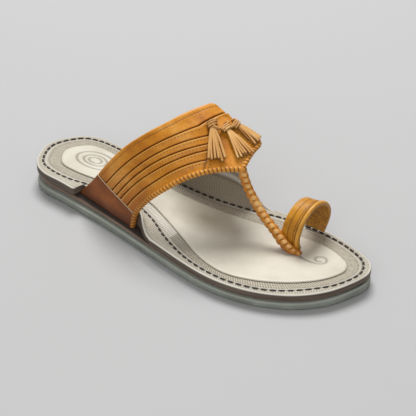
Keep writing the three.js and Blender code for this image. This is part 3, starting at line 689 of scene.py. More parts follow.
# %% Ear tables
# Station, height over the edge, and how far it is turned out
LATERAL_EAR = [
    (-71, 0, 0), (-64, 1, 0), (-56, 6, 0), (-44, 10, 0), (-32, 11.5, 0), (-19.5, 8.8, 0),
    (-16, 7.0, 1.0), (-12, 4.6, 3.6), (-7, 1.4, 5.6), (-3, 0, 6.2),
]
MEDIAL_EAR = [
    (-50, 0, 0), (-45, 8, 0), (-34, 17, 0), (-18, 25, 0), (-4, 27.4, 0), (8, 28, 0), (17, 26.4, 0),
    (22.5, 22.0, 0.2), (28, 12.6, 0.8), (34, 4.4, 2.0), (40, 0.6, 2.8), (44, 0, 3.4),
]
EAR_TABLES = {-1: LATERAL_EAR, 1: MEDIAL_EAR}
SLOT_REAR = {-1: -77.6, 1: -47.6}
SLOT_FRONT = {-1: -2.0, 1: 43.0}

# %% Footbed board
BOARD_REACH = -1.0
CORNER = 2.6                     # length and depth of the rounded end behind a slot
ROLL_RADIUS = 1.15
NEAR_CORNER = (-2.6, -1.8, -1.1, -0.6, -0.25, 0.0)
# Rings on the underside and lower edge: inset, rise, how much painted shade, distance on the UV map
BOARD_FOOT = [(9.0, 0, 1, -30), (4.0, 0, 1, -30), (1.4, 0, 1, -30), (0.5, 0, 0.8, -29),
              (0.05, 0.3, 0.5, -28.5)]
# Rings in the seam's groove: distance from the seam, depth, how much painted shade
SEAM_GROOVE = [(0.35, 0.25, 0.5), (0.75, 0.5, 0.8), (1.2, 0.25, 0.4), (1.7, 0, 0)]
# Rings on the woven border: share of the way to the pad, depth, how much painted shade
BORDER_RINGS = [(0.26, 0, 0), (0.3, 0.22, 0.45), (0.34, 0, 0), (0.42, 0, 0), (0.52, 0, 0),
                (0.62, 0, 0), (0.72, 0, 0), (0.82, 0, 0), (0.9, 0, 0.14), (0.96, 0, 0.35),
                (1.0, 0, 0.6)]


def board_shares(heel, toe):
    """Shares of the length, with extra ones near each slot's sharp rear corner."""
    places = [rear + shift for rear in SLOT_REAR.values() for shift in NEAR_CORNER]
    return np.array(sorted(set(crowded(210)) | {(p - heel) / (toe - heel) for p in places}))


def footbed_rings():
    tips = outline(SOLE, BOARD_REACH, np.array([0.0, 1.0]))
    shares = board_shares(tips[0, 0], tips[1, 0])
    edge = outline(SOLE, BOARD_REACH, shares)
    seam, pad = outline(SEAM, 0, shares), outline(PAD, 0.8, shares)
    x, count = edge[:, 0], len(edge)
    side = np.where(np.arange(count) <= count // 2, 1, -1)
    for sign, rear in SLOT_REAR.items():
        share = np.clip((x - rear + CORNER) / CORNER, 0, 1)
        behind = (side == sign) & (x <= rear + 0.05)
        edge[behind, 1] -= sign * CORNER * (1 - np.sqrt(1 - share[behind] ** 2)) * 0.8
    low = level(MIDSOLE_TOP, x) + GAP
    height, out, cut = np.zeros(count), np.zeros(count), np.zeros(count, bool)
    for sign, rows in EAR_TABLES.items():
        here = (side == sign) & (x > SLOT_REAR[sign] - 0.1) & (x < SLOT_FRONT[sign])
        height[here] = column(rows, 1)(x[here])
        out[here] = column(rows, 2)(x[here])
        cut |= here
    tall = ease(height / 5.0)
    top = level(TOPSOLE_EDGE, x) + height

    def outer_face(z):
        """The edge's outer face: the plain outline, or the strap's inner face in a slot."""
        places = edge.copy()
        for sign in (-1, 1):
            here = cut & (side == sign)
            turn = turn_at(x[here], z[here], sign)
            p = over_instep(x[here], turn, np.full(here.sum(), -STRAP_WALL - GAP))
            p[:, 1] += sign * out[here] * (0.8 + 0.2 * (z[here] - low[here]) / (top - low)[here])
            inside = np.minimum(p[:, 1] * sign, edge[here, 1] * sign) * sign
            places[here] = np.column_stack([p[:, 0], inside])
        return places

    inward = unit(seam - edge)
    inward[cut] = np.column_stack([np.zeros(count), -side])[cut]

    def stepped(base, inset):
        return base + inward * np.reshape(inset, (-1, 1))

    # Two patches of the outer border: a pale one beside the strap and a slate one before it
    patches = {"pale": (side < 0) * ease((9.0 - seam[:, 0]) / 1.5) * ease((seam[:, 0] + 52) / 12),
               "slate": (side < 0) * ease((seam[:, 0] - 8.5) / 1.5) * ease((30 - seam[:, 0]) / 9)}
    rings = []
    zone = {key: [] for key in ("wall", "rubbed", "cloth", "border", "pooled", *patches, "v")}

    def put(xy, z, **marks):
        """Adds a ring and its marks. The patches show on the pressed border alone."""
        rings.append(np.column_stack([xy, z]))
        if np.max(marks.get("border", 0)) == 1.0:
            marks.update(patches)
        for key, values in zone.items():
            values.append(np.broadcast_to(marks.get(key, 0), count).astype(float))

    base = outer_face(low)
    for inset, rise, pooled, v in BOARD_FOOT:
        put(stepped(base, inset), low + rise, wall=1, pooled=pooled, v=v)
    # Two painted shade lines on the side wall, at its foot and under the roll.
    for share in (0.12, 0.3, 0.5, 0.75, 1.0):
        z = mix(low + 0.3, top - ROLL_RADIUS, share)
        put(outer_face(z), z, wall=1, v=-28 + 4 * share,
            pooled=0.45 if share in (0.12, 1.0) else 0)
    base = outer_face(top - ROLL_RADIUS)
    reach = np.radians(mix(112.0, 176.0, ease(height / 3)))
    # The roll gets a painted highlight along its top.
    for step in range(1, 9):
        angle = reach * step / 8
        z = top + ROLL_RADIUS * (np.sin(angle) - 1)
        put(stepped(base, ROLL_RADIUS * (1 - np.cos(angle))), z, wall=step < 3, v=-20 + step * 0.4,
            border=0.5 * (step > 5), rubbed=0.6 * math.sin(math.pi * step / 8) ** 2)
    last = rings[-1]
    seam_z, pad_z = seam_level(seam[:, 0]), seam_level(pad[:, 0])
    span = np.hypot(np.hypot(*(seam - last[:, :2]).T), last[:, 2] - seam_z)
    steps = 14
    # Painted shade just inside the roll and on the ears, and a painted highlight along the ears' top.
    for step in range(1, steps + 1):
        t = step / steps
        xy = mix(last[:, :2], seam, mix(t, t ** 2.4, tall)[:, None])
        z = mix(last[:, 2], seam_z, mix(t, 1 - (1 - t) ** 1.9, tall))
        dark = ease((height - 2) / 10) * ease(t * 7) * np.where(side > 0, 1.0, 0.25)
        put(xy, z, cloth=dark, border=0.75 * (1 - dark) * ease(t * 4), v=-span * (1 - t),
            pooled={1: 0.6, 3: 0.5 * tall}.get(step, 0), rubbed=0.7 * tall * (step == 2))
    width = np.hypot(*(pad - seam).T)
    # Painted shade in the seam's groove and towards the pad's edge.
    for away, drop, shade_amount in SEAM_GROOVE:
        put(seam + unit(pad - seam) * away, seam_z - drop, pooled=shade_amount, v=away)
    for t, drop, shade_amount in BORDER_RINGS:
        put(mix(seam, pad, t), mix(seam_z, pad_z, t) - drop, border=1.0, pooled=shade_amount, v=width * t)
    marks = {key: np.array([v[0]] * 2 + v + [v[-1]] * 2) for key, v in zone.items()}
    return capped(rings, (0.5, 1.0), (0.5, 1.0)), marks, seam


rings, zone, seam_ring = footbed_rings()
distance = zone.pop("v")
footbed = ring_piece("footbed_board", rings, FOOTBED_LEATHER, zone,
                     seam_ring, distance)
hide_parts("topsole")

# %% [markdown]
# ## Pad
# The pad is a thin sheet of smooth leather, stamped with nested ovals under the heel and with a
# small curl behind the toe. The stamp is pressed into the mesh, because it catches the light.

# %% Pad with its stamped marks
OVAL_CENTRE, OVAL_HALF, OVAL_LINES = (-89.0, 3.4), (15.5, 9.6), (0.34, 0.62, 1.0)
TOE_CURL = [(86.5, 3.0), (90, 2.2), (94, 1.9), (98, 2.4), (102, 4.2), (103.6, 7.0), (102.4, 10.0),
            (99.0, 11.2), (96.0, 9.6), (95.6, 6.8), (98.0, 5.0), (100.6, 6.2)]
STAMP_DEPTH = 0.5


def stamped(x, y):
    """How deep each point lies in the stamped lines, from 0 to 1."""
    reach = np.hypot((x - OVAL_CENTRE[0]) / OVAL_HALF[0], (y - OVAL_CENTRE[1]) / OVAL_HALF[1])
    depth = sum(bell((reach - line) * min(OVAL_HALF), 0.62) for line in OVAL_LINES)
    curl = spline(TOE_CURL, 90)
    away = np.hypot(x[..., None] - curl[:, 0], y[..., None] - curl[:, 1]).min(-1)
    return np.minimum(depth + bell(away, 0.7), 1.0)


# Inset and share of the thickness
PAD_PROFILE = [(0.6, 0.0), (0.15, 0.1), (0.0, 0.35), (0.08, 0.62), (0.35, 0.86), (0.8, 1.0),
               (1.5, 1.08)]
UNDERSIDE = (0.5, 1.0)
rings = []
for inset, share in PAD_PROFILE:
    ring = outline(PAD, inset, crowded(230))
    rings.append(np.column_stack([ring, seam_level(ring[:, 0]) + 0.1 + PAD_THICKNESS * share]))
rings = capped(rings, UNDERSIDE, np.linspace(0, 1, 34)[1:])
# Painted shade: the stamped lines darken with their depth, and a dark line runs around the pad's
# edge.
pooled = stamped(rings[..., 0], rings[..., 1])
pooled[:len(UNDERSIDE) + 5] = 0
rings[..., 2] -= pooled * STAMP_DEPTH
pooled[len(UNDERSIDE):len(UNDERSIDE) + 2] = 0.7
pad = ring_piece("footbed_pad", rings, PAD_LEATHER, {"pooled": pooled})
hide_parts("insole")

# %% [markdown]
# ## The pleated band
# The band is one wide piece of hide with five tucks pressed and stitched along it. Each tuck is
# a groove, darkened with painted shade, with a soft fold behind it that sinks towards the next
# groove; the lip of each fold gets a painted highlight. The tucks stop at a plain V under the
# tassels. The front edge has a twisted binding of its own.

# %% Edges of the band, by turn over the arch
POINT_TURN = -0.21
rear_edge = through(
    [-1, -0.9, -0.8, -0.65, -0.5, -0.35, -0.2, -0.05, 0.08, 0.2, 0.33, 0.5, 0.7, 0.85, 1],
    [-77, -62.5, -51.5, -37, -23.4, -12.6, -5.4, -0.6, 1.6, 0.4, -5, -14, -25.7, -36, -47])
front_lateral = through([-1, -0.9, -0.8, -0.65, -0.5, -0.35, POINT_TURN],
                        [-22, -18, -9.5, 4.5, 16.8, 29.5, 42.6])
front_medial = through([POINT_TURN, -0.07, 0.1, 0.3, 0.5, 0.7, 0.85, 1],
                       [42.6, 39.4, 37, 32, 24.8, 15, 4.5, -3.5])
PLEATS = (0.24, 0.40, 0.52, 0.63, 0.79)
RIM_SHARE = 0.94                 # where the last fold ends
PATCH_START = 0.29               # the plain V under the tassels begins here
REAR_SEAM = 3.2                  # distance of the fine seam from the rear edge
PATCH_RISE = 0.32                # how far the V stands over the folds' feet
TUCK_DEPTH, TUCK_HALF = 1.15, 0.42
LIP_AWAY = 1.25                  # the lip with the painted highlight lies this far behind a tuck
TURN_MM = 75                     # millimetres over the band for one unit of turn
TAB_TOP = {"lateral": (-0.857, -0.915), "medial": (0.905, 0.92)}


def front_edge(turn):
    return np.where(turn < POINT_TURN, front_lateral(turn), front_medial(turn))


def band_width(turn):
    return np.abs(front_edge(turn) - rear_edge(turn))


def band_spot(turn, share):
    return mix(rear_edge(turn), front_edge(turn), share)


def patch_sides(share):
    t = np.clip((share - 0.2) / 0.6, -0.3, 1.3)
    return mix(-0.12, -0.34, t), mix(-0.02, 0.1, t)


# %% Relief of the band
def band_relief(turn, share):
    """Height over the instep, and how much painted shade and painted highlight the leather gets
    there.
    """
    width = band_width(turn)
    left, right = patch_sides(share)
    edge_away = np.maximum(left - turn, turn - right)
    below_start = ease((share - PATCH_START) / 0.02)
    on_patch = ease((0.004 - edge_away) / 0.008) * below_start
    keep = 1 - on_patch
    rise = 0.16 * np.sin(share * 23 + turn * 7) * np.sin(turn * 13 + 1.3) * keep
    rise += PATCH_RISE * on_patch
    dark = np.zeros_like(turn)
    rubbed = np.zeros_like(turn)
    for k, (pleat, following) in enumerate(zip(PLEATS, (*PLEATS[1:], RIM_SHARE))):
        tuck = pleat + 0.006 * np.sin(turn * 9 + k * 2.1)
        away = (share - tuck) * width
        along = np.clip((share - tuck) / (following - pleat), 0, 1)
        fold = (1 - along) ** 1.5 * (share > tuck) * (share < following)
        rise += keep * (fold * ease((away - 0.2) / 0.9) - TUCK_DEPTH * bell(away, TUCK_HALF))
        # Painted shade in each tuck and a painted highlight on the lip behind it.
        dark += 1.1 * bell(away, TUCK_HALF + 0.1) * keep
        rubbed += 0.95 * bell(away - LIP_AWAY, 0.8) * keep
    patch_seam = bell(edge_away * TURN_MM, 0.5) * below_start
    rear, front = share * width, (1 - share) * width
    rear_seam = bell(rear - REAR_SEAM, 0.35)
    rise -= (0.35 * patch_seam + 0.16 * rear_seam + 0.55 * (1 - ease(rear / 1.0))
             + 0.8 * (1 - ease(front / 1.2)))
    # Painted shade along the seams, and a painted highlight along the rear edge.
    dark += 0.9 * patch_seam + 0.3 * rear_seam
    rubbed += 0.8 * (1 - ease(rear / 1.4))
    return rise, np.clip(dark, 0, 1), np.clip(rubbed, 0, 1)


def band_turn(place, share):
    """Rows of the grid run along the slanted tops of the tabs at place 0 and 1."""
    lateral, medial = (mix(a, b, share) for a, b in TAB_TOP.values())
    return np.where(place < 0, mix(-1.0, lateral, place + 1),
                    np.where(place > 1, mix(medial, 1.0, place - 1), mix(lateral, medial, place)))


TAB_THICKNESS = 1.2
places = np.concatenate([[-1, -0.66, -0.33, -0.03, 0.0015], np.linspace(0, 1, 210)[1:-1],
                         [0.9985, 1.03, 1.33, 1.66, 2]])
place, share = np.meshgrid(places, np.linspace(0, 1, 171), indexing="ij")
turn = band_turn(place, share)
spots = band_spot(turn, share)
rise, dark, rubbed = band_relief(turn, share)
covered = (place < 0) | (place > 1)
outer = over_instep(spots, turn, np.where(covered, -TAB_THICKNESS - GAP, rise))
edge_round = 0.5 * (1 - ease(np.minimum(share, 1 - share) * band_width(turn) / 0.8))
inner = over_instep(spots, turn, edge_round - STRAP_WALL)
band = shell_piece("instep_band", outer, inner, BAND_LEATHER,
                   {"pooled": dark, "rubbed": rubbed})


# %% [markdown]
# ## Side tabs
# A plain patch of redder leather covers each foot of the band and hides the ends of the tucks.
# A pale piping lies along its upper edge.

# %% Tabs
TAB_PLACES = {"lateral": (-1, -0.03), "medial": (1.03, 2)}


def tab(side):
    ends = TAB_PLACES[side]
    shares = np.concatenate([[0, 0.004, 0.012], np.linspace(0.025, 0.975, 60), [0.988, 0.996, 1]])
    place, share = np.meshgrid(np.linspace(*ends, 40), shares, indexing="ij")
    turn = band_turn(place, share)
    edge = np.minimum(share, 1 - share) * band_width(turn)
    top_away = np.abs(place - min(ends, key=abs)) * 24
    soft = (1 - ease(edge / 0.9)) * 0.5 + (1 - ease(top_away / 1.0)) * 0.35
    swell = 0.14 * np.sin(share * 9 + 1.1) * np.sin(place * 5.0 + 0.6)
    x = band_spot(turn, share)
    outer = over_instep(x, turn, 0.15 - soft + swell)
    inner = over_instep(x, turn, np.full(turn.shape, 0.12 - TAB_THICKNESS))
    # Painted shade along the stitch line, and a painted highlight on the rounded edges.
    return shell_piece(f"{side}_tab", outer, inner, TAB_LEATHER,
                       {"pooled": bell(top_away - 3.4, 0.4) * 0.4,
                        "rubbed": np.clip(1 - edge / 1.6, 0, 1) * 0.8})


lateral_tab = tab("lateral")
medial_tab = tab("medial")

# %% [markdown]
# ## Round things that follow a path
# Piping, cord strands and tassel cords are sweeps: a small section is carried along a path and
# kept upright by a normal at each point.

# %% Sweep helper
def oval(width, height, sides):
    a = 2 * np.pi * np.arange(sides) / sides
    return np.stack([width / 2 * np.cos(a), height / 2 * np.sin(a)], -1)


def sweep(path, normals, section):
    """Points of a section of (sideways, upward) pairs carried along a path."""
    ahead = unit(np.gradient(path, axis=0))
    up = unit(normals - ahead * (normals * ahead).sum(1)[:, None])
    side = np.cross(up, ahead)
    section = np.broadcast_to(section, (len(path), *section.shape[-2:]))
    return path[:, None] + side[:, None] * section[..., :1] + up[:, None] * section[..., 1:]


def swept_piece(name, sweeps, material, node_slot, **marks):
    verts, faces, start = [], [], 0
    for grid in sweeps:
        rows, columns = grid.shape[:2]
        faces += (grid_faces(rows, columns) + start).tolist()
        faces.append([start + k for k in range(columns)][::-1])
        start += rows * columns
        faces.append([start - columns + k for k in range(columns)])
        verts.append(grid.reshape(-1, 3))
    joined = {key: np.concatenate([np.ravel(v) for v in values]) for key, values in marks.items()}
    return mesh_piece(name, np.concatenate(verts), faces, material, marks=joined)


def band_line(turns, shares, height=0.0):
    """A line over the band with its normals."""
    turns, shares = np.broadcast_arrays(turns, shares)
    x = band_spot(turns, shares)
    return over_instep(x, turns, np.broadcast_to(height, turns.shape)), instep_normal(x, turns)


def evenly_over(path, normals, pitch):
    both = evenly(np.column_stack([path, normals]), pitch)
    return both[:, :3], both[:, 3:]


# %% Piping on the tabs and the twisted binding of the front edge
def piping(place):
    share = np.linspace(0.012, 0.988, 90)
    path, normals = band_line(band_turn(place, share), share, 0.2)
    beads = 1 + 0.1 * np.sin(np.arange(len(share)) * 1.9)
    return sweep(path, normals, oval(1.0, 0.9, 8) * beads[:, None, None])


swept_piece("tab_piping", [piping(-0.012), piping(1.012)], PALE_THREAD, "tab_leather")
BINDING_STEP, WRAP_PITCH = 0.42, 2.7
BINDING_SINK = 0.75


def binding(turns):
    """A folded strip over the front edge, wrapped with a slanted thread that leaves nicks."""
    path, normals = evenly_over(*band_line(turns, 0.985), BINDING_STEP)
    angle = 2 * np.pi * np.arange(18) / 18
    length = np.arange(len(path)) * BINDING_STEP
    nick = np.maximum(0, np.sin(2 * np.pi * length[:, None] / WRAP_PITCH - angle)) ** 4
    section = np.stack([(1.75 - 0.42 * nick) * np.cos(angle),
                        (2.0 - 0.50 * nick) * np.sin(angle)], -1)
    return sweep(path - normals * BINDING_SINK, normals, section), nick


wraps, nicks = zip(binding(np.linspace(-0.995, POINT_TURN + 0.004, 400)),
                   binding(np.linspace(POINT_TURN - 0.004, 0.995, 400)))
# Painted shade in the nicks, and a painted highlight on the strip between them.
edge_binding = swept_piece("edge_binding", wraps, BAND_LEATHER, "strap_leather",
                           pooled=[np.minimum(1, 1.5 * n) for n in nicks],
                           rubbed=[0.6 * (1 - n) for n in nicks])


# %% [markdown]
# ## Plaited thong
# The thong is a round plait of four flat strands around a core. Two strands wind one way and two
# the other, and each passes over and under in turn. Where one pair faces up and out it gets a
# painted highlight, which gives the row of lens-shaped links. The rest of the plait and its core get
# painted shade.

# %% Thong
THONG_ROUTE = [
    (37.4, 2.4, 64.2, 5.4), (39.9, 2.8, 60.6, 5.8), (41.4, 3.0, 55.6, 6.0), (44.8, 3.0, 48.4, 6.0),
    (50.0, 2.9, 41.2, 6.0), (56.6, 2.7, 33.8, 6.1), (67.0, 2.5, 25.2, 6.4), (74.4, 2.6, 18.9, 7.4),
    (79.8, 3.0, 16.2, 7.6), (85.8, 3.4, 14.9, 3.6),
]
THONG_STEP, PLAIT_PITCH = 0.45, 8.8
STRAND_WIDTH, STRAND_THICKNESS, STRAND_SIDES = 3.4, 1.2, 12
WEAVE_DEPTH = 0.36
HIGHLIGHT_SHARE = {1: 0.25, -1: 1.4}    # by the way that a strand winds
thong_path = evenly(spline(THONG_ROUTE, 240), THONG_STEP)
centre, width = thong_path[:, :3], thong_path[:, 3]
ahead = unit(np.gradient(centre, axis=0))
sideways = unit(np.array([0.0, 1.0, 0.0]) - ahead * ahead[:, 1:2])
upward = np.cross(ahead, sideways)
upward *= np.sign(upward[:, 2:3])
run = np.arange(len(centre)) * THONG_STEP
flat = 1 - 0.5 * ease((run - run[-1] + 15) / 13)
shown = upward * 0.85 - sideways * 0.53


def strand(direction, start):
    """A strand's points, and how much painted highlight they get."""
    angle = direction * 2 * np.pi * run / PLAIT_PITCH + start
    reach = width / 2 - 0.75 + WEAVE_DEPTH * direction * np.sin(2 * angle)
    out = sideways * np.cos(angle)[:, None] + upward * (np.sin(angle) * flat)[:, None]
    grid = sweep(centre + out * reach[:, None], out,
                 oval(STRAND_WIDTH, STRAND_THICKNESS, STRAND_SIDES))
    facing = np.maximum(0, (unit(grid.mean(1) - centre) * shown).sum(1)) ** 8
    edge = np.abs(np.cos(2 * np.pi * np.arange(STRAND_SIDES) / STRAND_SIDES))
    return grid, HIGHLIGHT_SHARE[direction] * (1 - edge ** 3) * facing[:, None]


strands, rub = zip(*(strand(d, s) for d in (1, -1) for s in (math.pi / 4, math.pi * 5 / 4)))
core_size = np.column_stack([width - 2.0, (width - 2.0) * flat])
core = sweep(centre, upward, oval(1, 1, 14) * core_size[:, None])
bare = np.zeros(core.shape[:2])
# Painted shade on the strands away from the highlight, and on the core between them.
thong = swept_piece("plaited_thong", [*strands, core], CORD_LEATHER, "strap_leather",
                    rubbed=[*rub, bare],
                    pooled=[*(0.22 * (1 - np.minimum(1, r)) for r in rub), bare + 0.6])


# %% [markdown]
# ## Toe ring
# The loop for the big toe is a strip of leather with a raised rib along its front edge and two
# rows of pricked dots. Its inside is the darker, unwaxed side of the hide.

# %% Toe ring
RING_SECTION = [
    (6.8, 14.3), (3.8, 20.4), (3.4, 27.2), (6.2, 34.6), (12.0, 40.2), (20.0, 42.8), (28.4, 41.2),
    (35.4, 36.2), (39.6, 29.4), (40.2, 22.8), (37.4, 16.0), (35.6, 13.2),
]
RING_REAR, RING_FRONT, RING_LEAN, RING_WALL = 69.5, 83.5, 0.1, 2.1
RING_STEP = 0.42
RING_FOOT, RING_MIDDLE = 14, 22      # heights that the lean and the taper start from


def ring_relief(x, length):
    """Rise, painted shade and painted highlight of the strip across its width and along its length.
    """
    front, rear = RING_FRONT - x, x - RING_REAR
    groove = bell(front - 3.05, 0.36)
    rise = (0.75 * ease((2.75 - front) / 0.5) * (1 - 0.6 * (1 - ease(front / 0.9)))
            - 0.55 * groove - 0.45 * (1 - ease(rear / 1.1)))
    # Painted shade in the groove and in the pricked dots.
    dark = 0.95 * groove
    dots = 0.45 + 0.55 * (np.sin(2 * np.pi * length / 1.9) > 0)
    for line in (4.6, 9.2):
        pricked = bell(front - line, 0.42) * dots
        rise -= 0.28 * pricked
        dark += 0.85 * pricked
    # Painted highlight on the rib and the rear edge.
    rub = bell(front - 1.3, 0.8) * 0.9 + 0.6 * (1 - ease(rear / 1.0))
    return rise, np.clip(dark, 0, 1), np.clip(rub, 0, 1)


ring_line = evenly(spline(RING_SECTION, 240), RING_STEP)
tangent = unit(np.gradient(ring_line, axis=0))
outward = np.stack([-tangent[:, 1], tangent[:, 0]], -1)
ring_x = np.concatenate([np.linspace(RING_REAR, RING_REAR + 1, 5)[:-1],
                         np.linspace(RING_REAR + 1, RING_FRONT - 0.9, 44)[:-1],
                         np.linspace(RING_FRONT - 0.9, RING_FRONT, 6)])
x_grid, length_grid = np.meshgrid(ring_x, np.arange(len(ring_line)) * RING_STEP)
rise, dark, rub = ring_relief(x_grid, length_grid)


def ring_face(height):
    taper = 1 - 0.05 * (1 - ease((x_grid - RING_REAR) / (RING_FRONT - RING_REAR)))
    yz = ((ring_line[:, None] - RING_MIDDLE) * taper[..., None] + RING_MIDDLE
          + outward[:, None] * height[..., None])
    return np.concatenate([(x_grid + RING_LEAN * (yz[..., 1] - RING_FOOT))[..., None], yz], -1)


toe_ring = shell_piece("toe_ring", ring_face(rise), ring_face(np.full_like(rise, -RING_WALL)),
                       RING_LEATHER, {"pooled": dark, "rubbed": rub})
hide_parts("upper")
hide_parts("upper")
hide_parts("upper")
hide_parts("upper")
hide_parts("tab_lateral")
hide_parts("tab_medial")

# %% [markdown]
# ## Tassels
# Each tassel is a cord from a hole in the V, wrapped into a small knot, with a skirt of flat
# strips cut from thin hide. The strips fan out, cross a little and curl at their ends. A fixed
# seed keeps every strip in its place.

# %% Tassels
# name: (station, turn) of the hole, of the knot and of the skirt's left and right corner
TASSELS = {
    "tassel_outer": ((11, -0.1), (11, -0.14), (23.5, -0.335), (32, -0.26)),
    "tassel_middle": ((16, -0.06), (18.5, -0.09), (36, -0.19), (40, -0.09)),
    "tassel_inner": ((17, 0.0), (20.5, -0.015), (37.5, -0.03), (34, 0.155)),
}
# Cord that hangs between two tassels: station, turn, height
DRAPE = [(11, -0.14, 3.2), (14.0, -0.15, 3.3), (17.0, -0.125, 3.0), (19.6, -0.085, 3.6),
         (20.6, -0.05, 3.4), (20.5, -0.015, 3.2)]
KNOT_RADIUS, CLEARANCE = 2.3, 0.75
STRIP_STEP, TWIST_STEP, TWIST_PITCH = 0.9, 0.3, 3.4
SPOT_SCALE = np.array([1, 60])   # makes a (station, turn) pair roughly millimetres
chance = random.Random(7)


def tassel(name, hole, knot, left, right, drape=()):
    knot_height = CLEARANCE + KNOT_RADIUS * 0.8
    sweeps, highlight_amounts, dark = [], [], []

    def lay(points, section, rub, twist=None):
        """Sweeps a section along points given as (station, turn, height)."""
        x, turn, height = np.array(points, float).T
        route = np.column_stack([over_instep(x, turn, height), instep_normal(x, turn)])
        both = evenly(spline(route, 60), STRIP_STEP if twist is None else TWIST_STEP)
        path, normals = both[:, :3], both[:, 3:]
        if twist is not None:
            angle = 2 * math.pi * np.arange(len(path)) * TWIST_STEP / TWIST_PITCH + twist
            side = unit(np.cross(normals, np.gradient(path, axis=0)))
            path = path + 0.62 * (side * np.cos(angle)[:, None] + normals * np.sin(angle)[:, None])
        grid = sweep(path, normals, section)
        sweeps.append(grid)
        # Painted highlight on the upper side of each section, painted shade on its lower side and on
        # the under layer of strips.
        upper = np.clip(0.5 + section[:, 1] / np.ptp(section[:, 1]) * 1.4, 0, 1)
        highlight_amounts.append(np.broadcast_to(rub * upper, grid.shape[:2]))
        dark.append(np.broadcast_to(0.75 * (1 - upper) + 0.35 * (rub == 0), grid.shape[:2]))

    for t, layer in [((k + 0.5) / 5, 0) for k in range(5)] + [(k / 5, 1) for k in range(6)]:
        t = min(1, max(0, t + chance.uniform(-0.035, 0.035)))
        cut = chance.uniform(0.93, 1.03)
        curl = chance.uniform(-0.1, 0.5) + 0.5 * layer
        bow = chance.uniform(-0.012, 0.012)
        base = CLEARANCE + 0.35 + layer * 1.3
        points = []
        for s in (0, 0.25, 0.5, 0.75, 1):
            x, turn = (mix(knot[i], mix(left[i], right[i], t), s * cut) for i in (0, 1))
            arch = math.sin(math.pi * s)
            points.append((x, turn + bow * arch,
                           mix(knot_height, base, s ** 0.6) + curl * s ** 4 + 0.5 * arch))
        strip = oval(chance.uniform(1.55, 1.9), 1.35, 10)
        lay(points, strip, chance.uniform(0.35, 1.0) if layer else 0.0)
    for twist in (0, math.pi) if drape else ():
        lay(drape, oval(1.25, 1.25, 8), 0.7, twist)
    lay([(hole[0] - 1.0, hole[1], -0.4),
         (mix(hole[0], knot[0], 0.3), hole[1] + 0.01, knot_height + 0.7),
         (mix(hole[0], knot[0], 0.7), mix(hole[1], knot[1], 0.7), knot_height + 1.3),
         (*knot, knot_height + 0.4)], oval(1.6, 1.4, 8), 0.35)
    direction = unit(((np.array(left) + right) / 2 - knot) * SPOT_SCALE)
    across = np.array([-direction[1], direction[0]])
    for wrap in (-1, 0, 1):
        reach = KNOT_RADIUS * (0.9 if wrap else 1.02)
        loop = []
        for angle in 2 * np.pi * np.arange(17) / 16:
            offset = direction * wrap * 1.25 + across * reach * math.cos(angle)
            loop.append((*(knot + offset / SPOT_SCALE), knot_height + reach * 0.72 * math.sin(angle)))
        lay(loop, oval(1.3, 1.3, 7), 0.5)
    return swept_piece(name, sweeps, TASSEL_LEATHER, "tassel_leather", rubbed=highlight_amounts, pooled=dark)


for name, points in TASSELS.items():
    piece = tassel(name + "_strips", *points, drape=DRAPE if name == "tassel_middle" else ())
    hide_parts(name)


# %% [markdown]
# ## Stitches
# All threads come from one Geometry Nodes tree. It walks a path at an even pitch and lays a small
# rounded stitch at each step, turned along the path and set upright by the "up" attribute.

# %% Stitch tree
def stitch_tree():
    tree = bpy.data.node_groups.new("stitches", "GeometryNodeTree")
    floats = [(name, "INPUT", "Float") for name in ("Pitch", "Length", "Width", "Height")]
    for name, way, kind in [("Geometry", "INPUT", "Geometry"), *floats,
                            ("Thread", "INPUT", "Material"), ("Geometry", "OUTPUT", "Geometry")]:
        tree.interface.new_socket(name, in_out=way, socket_type="NodeSocket" + kind)
    given = tree.nodes.new("NodeGroupInput").outputs

    def step(kind, output, settings=None, **inputs):
        return add(tree, kind, settings, **inputs).outputs[output]

    curve = step("GeometryNodeMeshToCurve", "Curve", Mesh=given["Geometry"])
    steps = step("GeometryNodeResampleCurve", "Curve", {"mode": "LENGTH"}, Curve=curve,
                 Length=given["Pitch"])
    ball = step("GeometryNodeMeshUVSphere", "Mesh", Segments=10, Rings=6, Radius=0.5)
    size = step("ShaderNodeCombineXYZ", "Vector", X=given["Length"], Y=given["Width"],
                Z=given["Height"])
    bead = step("GeometryNodeTransform", "Geometry", Geometry=ball, Scale=size)
    soft = step("GeometryNodeSetShadeSmooth", "Geometry", Geometry=bead)
    ahead = tree.nodes.new("GeometryNodeInputTangent").outputs["Tangent"]
    up = step("GeometryNodeInputNamedAttribute", "Attribute", {"data_type": "FLOAT_VECTOR"},
              Name="up")
    aim = step("FunctionNodeAlignRotationToVector", "Rotation", {"axis": "X"}, Vector=ahead)
    roll = step("FunctionNodeAlignRotationToVector", "Rotation", {"axis": "Z", "pivot_axis": "X"},
                Rotation=aim, Vector=up)
    laid = step("GeometryNodeInstanceOnPoints", "Instances", Points=steps, Instance=soft,
                Rotation=roll)
    real = step("GeometryNodeRealizeInstances", "Geometry", Geometry=laid)
    dyed = step("GeometryNodeSetMaterial", "Geometry", Geometry=real, Material=given["Thread"])
    add(tree, "NodeGroupOutput", Geometry=dyed)
    return tree


STITCHES = stitch_tree()


